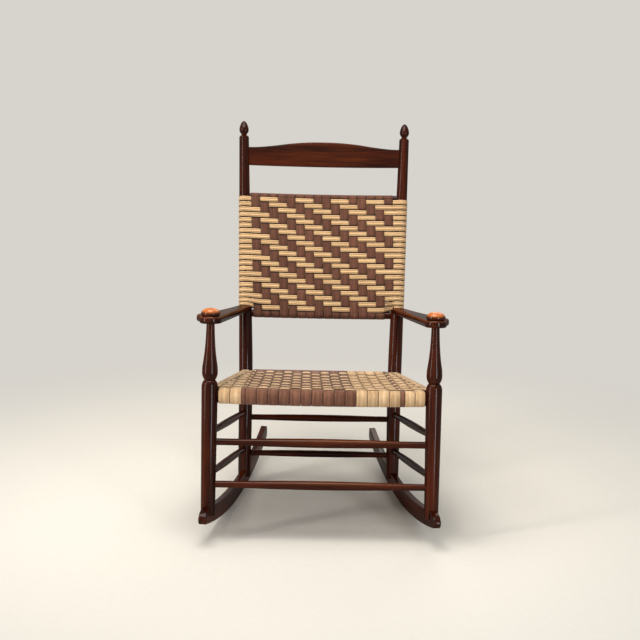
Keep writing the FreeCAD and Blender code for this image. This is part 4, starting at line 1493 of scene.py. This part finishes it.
def pad_stations(low: float, high: float, rim: float) -> List[Tuple[float, float, float]]:
    """Places along a pad, each with how far its sides pull in and how full it is there.

    Args:
        low: where the pad starts.
        high: where it ends.
        rim: width of its rounded rim.

    Returns:
        Place, pull and fullness, one after another.
    """
    stations = []
    for share in (1 - np.cos(np.linspace(0, math.pi, 33))) / 2:
        edge = min(share, 1 - share) * (high - low) / rim
        full = math.sqrt(max(0.0, 1 - (1 - min(1.0, edge)) ** 2))
        pull = rim * (1 - full) + 0.4 * rim * math.sin(math.pi * share)
        stations.append((low + (high - low) * share, pull, full))
    return stations


def pad_ring(left: float, right: float, steps: int = 72) -> Tuple[Array, Array]:
    """Places from left to right round a pad's section, and how far up (1) or down (-1) each lies.

    Args:
        left: left end of the section.
        right: right end.
        steps: points round it.

    Returns:
        The places and the heights.
    """
    angles = np.linspace(0, math.tau, steps, endpoint=False)
    wide, tall = np.cos(angles), np.sin(angles)
    places = (left + right) / 2 + (right - left) / 2 * np.sign(wide) * np.abs(wide) ** 0.5
    return places, np.sign(tall) * np.abs(tall) ** 0.45


@dataclass
class WovenBack:
    """The woven back: brown upright tapes round its two rails, beige level tapes round the posts."""

    bones: Skeleton
    warp_count: int = 16
    weft_count: int = 21
    weft_pitch: float = 0.01585
    weft_fill: float = 0.78
    first_row_top: float = 0.5154
    row_slope: float = -0.0071
    rail_radius: float = 0.0105
    rail_gap: float = 0.25 * MM
    loop_rise: float = 1.35 * MM
    tape: float = 1.0 * MM
    lift: float = 1.0 * MM
    pad_gap: float = 0.0022
    post_gap: float = -0.4 * MM
    left_edges: Span = (-0.1930, -0.2080)
    right_edges: Span = (0.2059, 0.2014)
    short_warp_rows: float = 18.6
    last_row_rise: float = 0.0080
    last_row_squeeze: float = 0.3
    last_row_power: int = 14
    drawn_range: Span = (0.165, 0.217)
    rail_reach: float = 0.055
    pad_right_share: float = 0.97

    @property
    def loop_radius(self) -> float:
        """Radius of the tape's middle round a rail."""
        return self.rail_radius + self.rail_gap + self.tape / 2

    @property
    def high(self) -> float:
        """Height of the top rail's axis."""
        return self.bones.back_top - self.loop_rise - self.rail_radius

    @property
    def low(self) -> float:
        """Height of the bottom rail's axis."""
        return self.bones.back_bottom + self.loop_rise + self.rail_radius

    def edge(self, height: Array, side: Array) -> Array:
        """Where the upright tapes end at a height, on the left (-1) or the right (1)."""
        share = (np.asarray(height) - self.low) / (self.high - self.low)
        left = self.left_edges[0] + (self.left_edges[1] - self.left_edges[0]) * share
        right = self.right_edges[0] + (self.right_edges[1] - self.right_edges[0]) * share
        return np.where(np.asarray(side) < 0, left, right)

    def cloth_depth(self, across: Array, height: Array, face: Array) -> Array:
        """Depth of the woven cloth's middle.

        Args:
            across: distances from the middle of the back.
            height: heights up the raked back.
            face: -1 on the front of the back, 1 behind.

        Returns:
            Depths behind the plane of the posts' axes.
        """
        bones = self.bones
        post = bones.post_place(height)
        skin = bones.post_radius(height) + self.post_gap + self.tape / 2
        centre = bones.back_bow + face * self.loop_radius
        taut = face * skin + (centre - face * skin) * (1 - np.minimum(np.abs(across) / post, 1) ** 2)
        bowed = bones.bow(np.minimum(np.abs(across), post)) + face * self.loop_radius
        edge = np.minimum(np.abs(self.edge(height, np.sign(across))), post - skin)
        bowed += (face * skin - bowed) * eased((np.abs(across) - edge) / (post - edge), 0, 1)
        inner = eased(self.high - height, 0.0, self.rail_reach)
        inner *= eased(height - self.low, 0.0, self.rail_reach)
        return bowed + (taut - bowed) * inner

    def round_rails(self) -> Tuple[Racetrack, float, float]:
        """Path of an upright tape round the rails, its start, and the crossings from there to its fold."""
        track = Racetrack((0, 0), (self.high - self.low, 0), self.loop_radius, self.loop_radius)
        start = self.high - self.first_row_top
        return track, start, (track.top + track.turn / 2 - start) / self.weft_pitch

    def lay_warps(self, strip: Array, share: Array, along: Array, lift: Array) -> Array:
        """Place upright tapes, in the back's axes. The last ends under a level tape over the bottom rail.

        Args:
            strip: number of the tape.
            share: place across it, from 0 to 1.
            along: crossings walked.
            lift: rise over the cloth's middle, in metres.

        Returns:
            The points.
        """
        track, start, fold = self.round_rails()
        short = (strip == self.warp_count - 1) & (fold - np.abs(along - fold) > self.short_warp_rows)
        ended = np.where(along < fold, self.short_warp_rows, 2 * fold - self.short_warp_rows)
        along = np.where(short, ended, along)
        lift = np.where(short, -self.lift, lift)
        spots, facing = track.at(start + along * self.weft_pitch)
        height = self.high - spots[:, 0]
        left, right = self.edge(height, -1), self.edge(height, 1)
        across = left + (right - left) * (strip + share) / self.warp_count
        flat = np.clip((np.abs(facing[:, 1]) - 0.98) / 0.02, 0, 1)
        face = np.where(spots[:, 1] > 0, -1.0, 1.0)
        round_depth = self.bones.bow(across) - spots[:, 1]
        depth = round_depth + (self.cloth_depth(across, height, face) - round_depth) * flat
        return np.column_stack([across, depth - facing[:, 1] * lift, height - facing[:, 0] * lift])

    def lay_wefts(self, strip: Array, share: Array, along: Array, lift: Array) -> Array:
        """Place level tapes, in the back's axes.

        Args:
            strip: number of the tape.
            share: place across it, from 0 to 1.
            along: crossings walked.
            lift: rise over the cloth's middle, in metres.

        Returns:
            The points.
        """
        bones = self.bones
        mirror, walked, out, turn = wrap(along, self.warp_count)
        height = self.first_row_top - (strip + share) * self.weft_pitch
        start = self.edge(height, -mirror) * mirror
        end = self.edge(height, mirror) * mirror
        post = bones.post_place(height)
        skin = bones.post_radius(height) + self.post_gap + self.tape / 2
        field = np.minimum(walked, self.warp_count)
        across = start + (end - start) * field / self.warp_count + (post - end) * out
        face = np.where(turn >= math.pi / 2, 1.0, -1.0) * mirror
        flat = self.cloth_depth(across * mirror, height, face) + face * lift
        depth = np.where((turn > 0) & (turn < math.pi), -np.cos(turn) * (skin + lift) * mirror, flat)
        across = (across + np.sin(turn) * (skin + lift)) * mirror
        drawn = eased(np.abs(across), *self.drawn_range)
        bend = drawn * ((strip + 0.5) / (self.weft_count - 0.5)) ** self.last_row_power
        centre = self.first_row_top - (strip + 0.5) * self.weft_pitch
        height = centre + (height - centre) * (1 - self.last_row_squeeze * bend) + self.last_row_rise * bend
        return np.column_stack([across, depth, height + self.row_slope * across])

    def fill(self, back: Axes, foam: bpy.types.Material) -> None:
        """Make the thin crowned pad between the two faces of tape."""
        low = self.low + self.rail_radius + self.pad_gap
        high = self.high - self.rail_radius - self.pad_gap
        rings = []
        for height, pull, full in pad_stations(low, high, self.rail_radius):
            inset = 2 * self.pad_gap + pull
            left = float(self.edge(height, -1)) + inset
            right = self.pad_right_share * float(self.edge(height, 1)) - inset
            across, tall = pad_ring(left, right)
            depth = self.bones.bow(across) + tall * max(full, PAD_RIM) * (self.rail_radius - MM)
            rings.append(np.column_stack([across, depth, np.full(len(across), height)]))
        sewn_pad("back_pad", rings, back, foam, "back_padding")

    def build(
        self,
        back: Axes,
        loom: Loom,
        brown: bpy.types.Material,
        beige: bpy.types.Material,
        foam: bpy.types.Material,
    ) -> None:
        """Weave the back and fill it."""
        track, _, fold = self.round_rails()
        warps = Weave(
            strips=self.warp_count, crossings=self.weft_count, fold=fold,
            length=track.length / self.weft_pitch, pitch=self.weft_pitch,
            period=4, run=2, direction=-1, offset=1, face=-1,
            lift=self.lift, blend=0.62, edge=0.2, seed=3, steps=5,
        )
        flat = loom.run("upright_back_tapes", warps, brown)
        mesh = laid_tape("upright_back_tapes", flat, lambda *a: back.place(self.lay_warps(*a)), self.tape)
        new_piece("upright_back_tapes", mesh, "back_warps")
        pitch = (self.right_edges[0] - self.left_edges[0]) / self.warp_count
        wefts = Weave(
            strips=self.weft_count, crossings=self.warp_count, fold=self.warp_count + WRAP_UNITS / 2,
            length=2 * (self.warp_count + WRAP_UNITS), pitch=pitch,
            period=4, run=2, direction=1, offset=1, face=1,
            lift=self.lift, blend=0.40, seed=5, steps=6, fill=self.weft_fill,
        )
        flat = loom.run("level_back_tapes", wefts, beige)
        mesh = laid_tape("level_back_tapes", flat, lambda *a: back.place(self.lay_wefts(*a)), self.tape)
        new_piece("level_back_tapes", mesh, "back_wefts")
        self.fill(back, foam)


@dataclass
class WovenSeat:
    """The woven seat: brown and beige tapes from front to back, beige ones across round the side rails."""

    bones: Skeleton
    rows: int = 15
    margin: float = 0.023
    rail_half_width: float = 0.013
    rail_half_height: float = 0.017
    front_rail: float = 0.280
    rear_rail: float = 0.288
    tape: float = 1.0 * MM
    clearance: float = 0.35 * MM
    side_gap: float = 0.15 * MM
    pad_gap: float = 1.2 * MM
    layer: float = 1.35 * MM
    warp_lift: float = 0.6 * MM
    weft_lift: float = 1.7 * MM
    front_bow: float = 0.031
    bow_reach: float = 8.0
    slack: float = 4.0 * MM
    side_swell: float = 0.18
    dish: float = 0.010
    left_edge: float = -0.2555
    tape_width: float = 0.0274
    slivers: Span = (0.010, 0.011)
    filler_widths: Span = (0.0282, 0.0250)
    filler_count: int = 2
    brown_count: int = 10
    beige_count: int = 4
    rear_scale: float = 0.925
    rear_shift: float = -0.0035
    rail_inset: float = 0.0145

    @property
    def pitch(self) -> float:
        """Distance from one cross tape to the next."""
        return (self.bones.seat_depth - 2 * self.margin) / self.rows

    @property
    def edges(self) -> Array:
        """Places at the front rail where the lengthwise tapes meet."""
        field = [self.tape_width] * (self.brown_count + self.beige_count)
        left = [self.filler_widths[0]] * self.filler_count + [self.slivers[0]]
        right = [self.slivers[1]] + [self.filler_widths[1]] * self.filler_count
        return self.left_edge + np.concatenate([[0], np.cumsum(left + field + right)])

    def spread(self, places: Array, depth: Array) -> Array:
        """Where places at the front rail come to at a depth of the seat."""
        share = np.clip(np.asarray(depth) / self.bones.seat_depth, 0, 1)
        return places * (1 + (self.rear_scale - 1) * share) + self.rear_shift * share

    def rail_place(self, depth: Array) -> Array:
        """Distance of a side rail's axis from the middle."""
        return self.bones.half_front - self.bones.slant * np.asarray(depth)

    def rail_height(self, depth: Array) -> Array:
        """Height of the rails' axes at a depth of the seat."""
        rise = self.rear_rail - self.front_rail
        return self.front_rail + rise * np.asarray(depth) / self.bones.seat_depth

    def sag(self, across: Array, depth: Array) -> Array:
        """How far the seat's upper face dips below its rails.

        Args:
            across: distances from the middle.
            depth: distances behind the front rail.

        Returns:
            The dips.
        """
        wide = np.clip(np.abs(across) / (self.rail_place(depth) - 0.004), 0, 1)
        deep = np.clip(np.abs(depth / self.bones.seat_depth * 2 - 1), 0, 1)
        return self.dish * (1 - wide ** 2.4) * (1 - deep ** 2.6)

    def track(self) -> Racetrack:
        """Path of a lengthwise tape round the front and rear rails."""
        near, far = (0.0, self.front_rail), (self.bones.seat_depth, self.rear_rail)
        grow = self.clearance + self.tape / 2
        return Racetrack(near, far, self.rail_half_width + grow, self.rail_half_height + grow)

    @property
    def front_units(self) -> float:
        """Crossings from the middle of the front fold to the first cross tape."""
        return (self.track().turn / 2 + self.margin) / self.pitch

    def drawn(self, units: Array, across: Array) -> Array:
        """How far the first cross tapes are drawn to the front.

        Args:
            units: crossings walked from the middle of the front fold.
            across: distances from the middle of the seat.

        Returns:
            Distances in metres.
        """
        first = self.front_units
        near = eased(units, 0.0, first + 0.5) * (1 - eased(units, first + 1, first + 1 + self.bow_reach))
        wide = np.clip(np.abs(across) / (self.bones.half_front - 0.030), 0, 1)
        return self.front_bow * near * (1 - wide ** 2)

    def hang(self, across: Array, depth: Array, down: Array) -> Array:
        """How far the tapes hang slack below the front rail. down is how far they face down, from 0 to 1."""
        wide = np.clip(np.abs(across) / self.bones.half_front, 0, 1)
        near = 1 - np.clip(depth / self.bones.seat_depth, 0, 1)
        return self.slack * down * near * (1 - wide ** 2)

    def corner_end(self, place: Array) -> Array:
        """Crossings after which a corner tape, given by its place at the front rail, meets the side rail."""
        closing = self.bones.slant - (1 - self.rear_scale) * np.abs(place) / self.bones.seat_depth
        depth = (self.bones.half_front - self.rail_inset - np.abs(place)) / closing
        return np.clip((depth - self.margin) / self.pitch, 0.4, self.rows - 0.4)

    def lay_lengthwise(self, strip: Array, share: Array, along: Array, lift: Array) -> Array:
        """Place lengthwise tapes, in the seat's axes. Those of the corners end at the side rails.

        Args:
            strip: number of the tape.
            share: place across it, from 0 to 1.
            along: crossings walked.
            lift: rise over the cloth's middle, in metres.

        Returns:
            The points.
        """
        track = self.track()
        edges = self.edges
        number = strip.astype(int)
        near, far = edges[number] + self.side_gap, edges[number + 1] - self.side_gap
        place = near + (far - near) * share
        fold = (track.top + track.turn / 2 - self.margin) / self.pitch
        last = len(edges) - 2
        corner = (strip < self.filler_count) | (strip > last - self.filler_count)
        end = self.corner_end(place)
        ended = corner & (fold - np.abs(along - fold) > end)
        along = np.where(ended, np.where(along < fold, end, 2 * fold - end), along)
        lift = np.where(ended, -self.warp_lift, lift)
        folded = fold - np.abs(along - fold)
        woven = eased(folded, -0.3, 0.5) * (1 - eased(folded, self.rows - 0.5, self.rows + 0.3))
        lift = lift + woven * self.layer / 2
        length = track.length / self.pitch
        walked = np.mod(along + self.front_units, length)
        drawn = np.where(walked < length / 2, self.drawn(walked, place), 0.0)
        spots, facing = track.at(self.margin + along * self.pitch - drawn)
        depth = spots[:, 0] + facing[:, 0] * lift
        across = self.spread(place, depth)
        height = spots[:, 1] + facing[:, 1] * lift - self.hang(across, depth, np.clip(-facing[:, 1], 0, 1))
        up = eased(facing[:, 1], 0.1, 0.9)
        return np.column_stack([across, depth, height - up * self.sag(across, depth)])

    def lay_crosswise(self, strip: Array, share: Array, along: Array, lift: Array) -> Array:
        """Place cross tapes, in the seat's axes.

        Args:
            strip: number of the tape.
            share: place across it, from 0 to 1.
            along: crossings walked.
            lift: rise over the cloth's middle, in metres.

        Returns:
            The points.
        """
        edges = self.edges
        count = len(edges) - 1
        side, walked, out, turn = wrap(along, count)
        behind = side < 0
        outer = np.maximum(1 - eased(walked, 0.2, 1.8), eased(walked, count - 1.8, count - 0.2))
        share = 0.5 + (share - 0.5) * (1 + self.side_swell * outer)
        flipped = np.where(behind, count - np.minimum(walked, count), np.minimum(walked, count))
        place = np.interp(flipped, np.arange(count + 1), edges)
        drawn = np.where(behind, 0.0, self.drawn(strip + share + self.front_units, place))
        spots, facing = self.track().at(self.margin + (strip + share) * self.pitch - drawn)
        depth = spots[:, 0]
        rail = self.rail_place(depth)
        grow = self.layer + self.clearance + self.tape / 2
        wide = self.rail_half_width + grow
        tall = self.rail_half_height + grow
        field = self.spread(place, depth)
        woven = 1 - eased(np.abs(field) - rail, -0.034, -0.018)
        field = np.clip(field, self.rail_inset - rail, rail - self.rail_inset)
        past = walked - count
        edge = self.spread(np.where(behind, edges[0], edges[-1]), depth)
        edge = np.clip(edge, self.rail_inset - rail, rail - self.rail_inset)
        across = field + (side * rail - edge) * out
        level = np.where(turn > 0, np.cos(turn), 1.0) * side
        across = across + side * np.sin(turn) * wide
        proud = (lift - self.layer / 2) * np.where(past < 0, woven, 0.0) + np.where(past < 0, 0.0, lift * 0.3)
        up = eased(level, 0.1, 0.9)
        front = ~behind & (past < 0) & (spots[:, 0] < self.margin)
        height = self.rail_height(depth) + level * tall + level * proud - up * self.sag(across, depth)
        height = np.where(front, spots[:, 1] + facing[:, 1] * (self.layer + proud), height)
        depth = np.where(front, depth + facing[:, 0] * (self.layer + proud), depth)
        height -= self.hang(across, depth, np.clip(-level, 0, 1))
        return np.column_stack([across, depth, height])

    def fill(self, seat: Axes, foam: bpy.types.Material) -> None:
        """Make the thin dished pad between the two faces of tape."""
        low, high = self.rail_inset, self.bones.seat_depth - self.rail_inset
        rings = []
        for depth, pull, full in pad_stations(low, high, 0.8 * self.rail_half_height):
            half = float(self.rail_place(depth)) - 1.2 * self.rail_inset - pull
            across, tall = pad_ring(-half, half)
            low_face = self.rail_half_height - self.pad_gap
            top = low_face - self.sag(across, np.full(len(across), depth))
            middle = (top - low_face) / 2
            swell = (top + low_face) / 2 * max(full, PAD_RIM)
            height = float(self.rail_height(depth)) + middle + swell * tall
            rings.append(np.column_stack([across, np.full(len(across), depth), height]))
        sewn_pad("seat_pad", rings, seat, foam, "seat_padding")

    def build(
        self,
        seat: Axes,
        loom: Loom,
        brown: bpy.types.Material,
        beige: bpy.types.Material,
        foam: bpy.types.Material,
    ) -> None:
        """Weave the seat and fill it."""
        track = self.track()
        length = track.length / self.pitch
        fold = (track.top + track.turn / 2 - self.margin) / self.pitch
        count = len(self.edges) - 1
        first = self.filler_count
        brown_ones = list(range(first, first + 1 + self.brown_count)) + [count - 1 - self.filler_count]
        is_brown = np.isin(np.arange(count), brown_ones)
        weave = Weave(
            strips=count, crossings=self.rows, fold=fold, length=length, pitch=self.pitch,
            direction=-1, face=-1, lift=self.warp_lift, blend=1.0, crown=0.3 * MM,
            wander=0.004, fill=0.99, seed=8, steps=8,
        )
        for name, wanted, slot, material, node in (
            ("brown_seat_tapes", is_brown, "brown_tape", brown, "seat_warps_brown"),
            ("beige_seat_tapes", ~is_brown, "seat_beige_tape", beige, "seat_warps_beige"),
        ):
            flat = loom.run(name, weave, material)
            keep_strips(flat, np.flatnonzero(wanted))
            mesh = laid_tape(name, flat, lambda *a: seat.place(self.lay_lengthwise(*a)), self.tape)
            new_piece(name, mesh, node)
        # The cross tapes get painted shade along their long edges (rim).
        cross = Weave(
            strips=self.rows, crossings=count, fold=count + WRAP_UNITS / 2,
            length=2 * (count + WRAP_UNITS), pitch=self.tape_width,
            direction=1, face=1, lift=self.weft_lift, blend=0.50, crown=1.4 * MM,
            wander=0.010, rim=0.5, fill=0.80, seed=9, across=7,
        )
        flat = loom.run("cross_seat_tapes", cross, beige)
        mesh = laid_tape("cross_seat_tapes", flat, lambda *a: seat.place(self.lay_crosswise(*a)), self.tape)
        new_piece("cross_seat_tapes", mesh, "seat_wefts")
        self.fill(seat, foam)


# Studio


WARM = (1.0, 0.95, 0.87)
COOL = (0.93, 0.96, 1.0)


@dataclass(frozen=True)
class Lamp:
    """A soft rectangular lamp that points at a spot above the middle of the floor."""

    name: str
    spot: Tuple[float, float, float]
    aim: float
    size: Span
    watts: float
    tint: Tuple[float, float, float] = WARM

    def hang(self) -> None:
        """Put the lamp in the scene."""
        data = bpy.data.lights.new(self.name, "AREA")
        data.shape = "RECTANGLE"
        data.size, data.size_y = self.size
        data.energy = self.watts
        data.color = self.tint
        lamp = added(self.name, data)
        lamp.location = self.spot
        away = Vector((0, 0, self.aim)) - Vector(self.spot)
        lamp.rotation_euler = away.to_track_quat("-Z", "Y").to_euler()


@dataclass
class Studio:
    """Pale floor, soft light and a camera where the photograph was taken from."""

    focal_pixels: float = 1198.8
    image_width: float = 640.0
    sensor: float = 36.0
    stand: Tuple[float, float, float] = (-0.0402, -2.9566, 0.6269)
    yaw: float = 0.62
    pitch: float = 3.0
    roll: float = 1.1
    pale: Colour = (0.68, 0.655, 0.61, 1.0)
    floor_dark: Colour = (0.54, 0.525, 0.49, 1.0)
    floor_light: Colour = (0.58, 0.565, 0.53, 1.0)
    floor_reach: float = 40.0
    fade: Span = (0.55, 1.9)
    soft: Colour = (1.0, 0.985, 0.96, 1.0)
    soft_strength: float = 0.25
    lamps: Tuple[Lamp, ...] = (
        Lamp("tall_left", (-2.35, -1.35, 1.40), 0.7, (0.30, 2.7), 54),
        Lamp("tall_right", (1.5, -2.6, 0.85), 0.6, (0.42, 1.7), 41, COOL),
        Lamp("overhead", (-0.4, -0.35, 3.0), 0.3, (2.0, 2.0), 112),
        Lamp("behind", (0.8, 2.4, 2.2), 0.6, (1.6, 1.2), 28),
    )

    def camera(self, seat: Axes) -> None:
        """Stand the camera in the seat's own axes."""
        yaw, pitch, roll = (math.radians(angle) for angle in (self.yaw, self.pitch, self.roll))
        ahead = np.array([math.sin(yaw) * math.cos(pitch), math.cos(yaw) * math.cos(pitch), -math.sin(pitch)])
        right = np.array([math.cos(yaw), -math.sin(yaw), 0.0])
        up = np.cross(right, ahead)
        turned_right = right * math.cos(roll) + up * math.sin(roll)
        turned_up = up * math.cos(roll) - right * math.sin(roll)
        columns = [direction @ seat.directions for direction in (turned_right, turned_up, -ahead)]
        data = bpy.data.cameras.new("camera")
        data.sensor_width = self.sensor
        data.lens = self.focal_pixels / self.image_width * self.sensor
        data.clip_end = 100.0
        matrix = Matrix(np.array(columns).T.tolist()).to_4x4()
        matrix.translation = Vector(seat.place(self.stand))
        camera = added("camera", data)
        camera.matrix_world = matrix
        bpy.context.scene.camera = camera

    @staticmethod
    def seen(sheet: NodeSheet) -> Wire:
        """One for a ray that looks or mirrors, and nothing for one that lights."""
        path = sheet.add("ShaderNodeLightPath")
        camera, glossy, through = (
            Wire(sheet, path.outputs["Is %s Ray" % kind]) for kind in ("Camera", "Glossy", "Transmission")
        )
        return sheet.math("MAXIMUM", sheet.math("MAXIMUM", camera, glossy), through)

    def floor(self) -> None:
        """Lay a wide pale floor that fades into the backdrop's own tone."""
        mesh = bpy.data.meshes.new("floor")
        far = self.floor_reach
        mesh.from_pydata([(-far, -far, 0), (far, -far, 0), (far, far, 0), (-far, far, 0)], [], [(0, 1, 2, 3)])
        material, sheet = new_material("pale_floor")
        place = sheet.wire("ShaderNodeTexCoord", None, None, "Object")
        speckle = sheet.noise(place, 60.0, 3.0)
        colour = sheet.blend(speckle, self.floor_dark, self.floor_light)
        shine = {"Base Color": colour, "Roughness": 0.75, "Specular IOR Level": 0.2}
        matt = sheet.wire("ShaderNodeBsdfPrincipled", None, shine)
        glow = sheet.wire("ShaderNodeEmission", None, {"Color": self.pale, "Strength": 1.0})
        away = sheet.vector("LENGTH", place, output="Value").eased(*self.fade)
        both = sheet.wire("ShaderNodeMixShader", None, {0: away * self.seen(sheet), 1: matt, 2: glow})
        sheet.add("ShaderNodeOutputMaterial", None, {"Surface": both})
        mesh.materials.append(material)
        added("floor", mesh)

    def sky(self) -> None:
        """Even light all round, and a pale backdrop where it is looked at."""
        world = bpy.data.worlds.new("studio")
        world.use_nodes = True
        bpy.context.scene.world = world
        sheet = NodeSheet(world.node_tree)
        light = {"Color": self.soft, "Strength": self.soft_strength}
        soft = sheet.wire("ShaderNodeBackground", None, light)
        pale = sheet.wire("ShaderNodeBackground", None, {"Color": self.pale, "Strength": 1.0})
        both = sheet.wire("ShaderNodeMixShader", None, {0: self.seen(sheet), 1: soft, 2: pale})
        sheet.add("ShaderNodeOutputWorld", None, {"Surface": both})

    def build(self, seat: Axes) -> None:
        """Set up the camera, the floor and the light."""
        bpy.context.scene.view_settings.view_transform = "Standard"
        self.camera(seat)
        self.floor()
        self.sky()
        for lamp in self.lamps:
            lamp.hang()


# Chair


TAPES = (
    CottonTape(
        name="brown_tape",
        colour=(0.130, 0.052, 0.030, 1.0),
        shadow=(0.034, 0.011, 0.006, 1.0),
        highlight=(0.270, 0.125, 0.078, 1.0),
        selvedge=(0.050, 0.018, 0.012, 1.0),
        painted_shade=(0.012, 0.004, 0.002, 1.0),
        width=0.024,
    ),
    # The seat's brown tape again, painted darker for the back: painted shade, since it is the same tape.
    CottonTape(
        name="shaded_brown_tape_of_back",
        colour=(0.088, 0.033, 0.019, 1.0),
        shadow=(0.026, 0.008, 0.004, 1.0),
        highlight=(0.175, 0.072, 0.044, 1.0),
        selvedge=(0.040, 0.014, 0.008, 1.0),
        painted_shade=(0.010, 0.003, 0.001, 1.0),
        width=0.024,
        sheen=0.05,
    ),
    CottonTape(
        name="back_beige_tape",
        colour=(0.40, 0.240, 0.110, 1.0),
        shadow=(0.17, 0.082, 0.026, 1.0),
        highlight=(0.66, 0.465, 0.265, 1.0),
        selvedge=(0.62, 0.435, 0.245, 1.0),
        painted_shade=(0.06, 0.026, 0.008, 1.0),
        width=0.0135,
        rib_count=6.0,
        band_depth=0.38,
        plain_share=0.55,
        # Painted shade: less in the dips than on the other tapes, more along each edge.
        sunk_shade_share=0.3,
        rim_shade_share=0.75,
    ),
    CottonTape(
        name="seat_beige_tape",
        colour=(0.42, 0.262, 0.130, 1.0),
        shadow=(0.19, 0.098, 0.035, 1.0),
        highlight=(0.76, 0.56, 0.35, 1.0),
        selvedge=(0.30, 0.175, 0.078, 1.0),
        painted_shade=(0.10, 0.048, 0.016, 1.0),
        width=0.025,
    ),
)


def dress_frame(wood: Mapping[Grain, bpy.types.Material]) -> None:
    """Give the solids that stay in view their wood."""
    for name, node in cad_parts.items():
        grain = Grain.BACKWARD if name in ("seat_rail_left", "seat_rail_right") else Grain.ACROSS
        node.data.materials.clear()
        node.data.materials.append(wood[grain])


def main() -> None:
    """Build the chair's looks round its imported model."""
    logging.basicConfig(level=logging.INFO, format="%(name)s %(message)s")
    bones = Skeleton()
    seat = bones.seat_axes()
    back = bones.back_axes(seat)
    wood = {
        Grain.PIECE: StainedHickory().make(),
        Grain.ACROSS: StainedHickory("stained_hickory_across", Grain.ACROSS).make(),
        Grain.BACKWARD: StainedHickory("stained_hickory_back", Grain.BACKWARD).make(),
    }
    brown, shaded_back_brown, back_beige, seat_beige = (tape.make() for tape in TAPES)
    foam = FoamPad().make()
    dress_frame(wood)
    for kind in (Posts, Rungs, Rockers, Arms):
        kind(bones).build(seat, wood[Grain.PIECE])
    TopSlat(bones).build(back, wood[Grain.PIECE])
    loom = Loom()
    # The back's brown tape is the darker copy: painted shade.
    WovenBack(bones).build(back, loom, shaded_back_brown, back_beige, foam)
    WovenSeat(bones).build(seat, loom, brown, seat_beige, foam)
    Studio().build(seat)


if __name__ == "__main__":
    main()
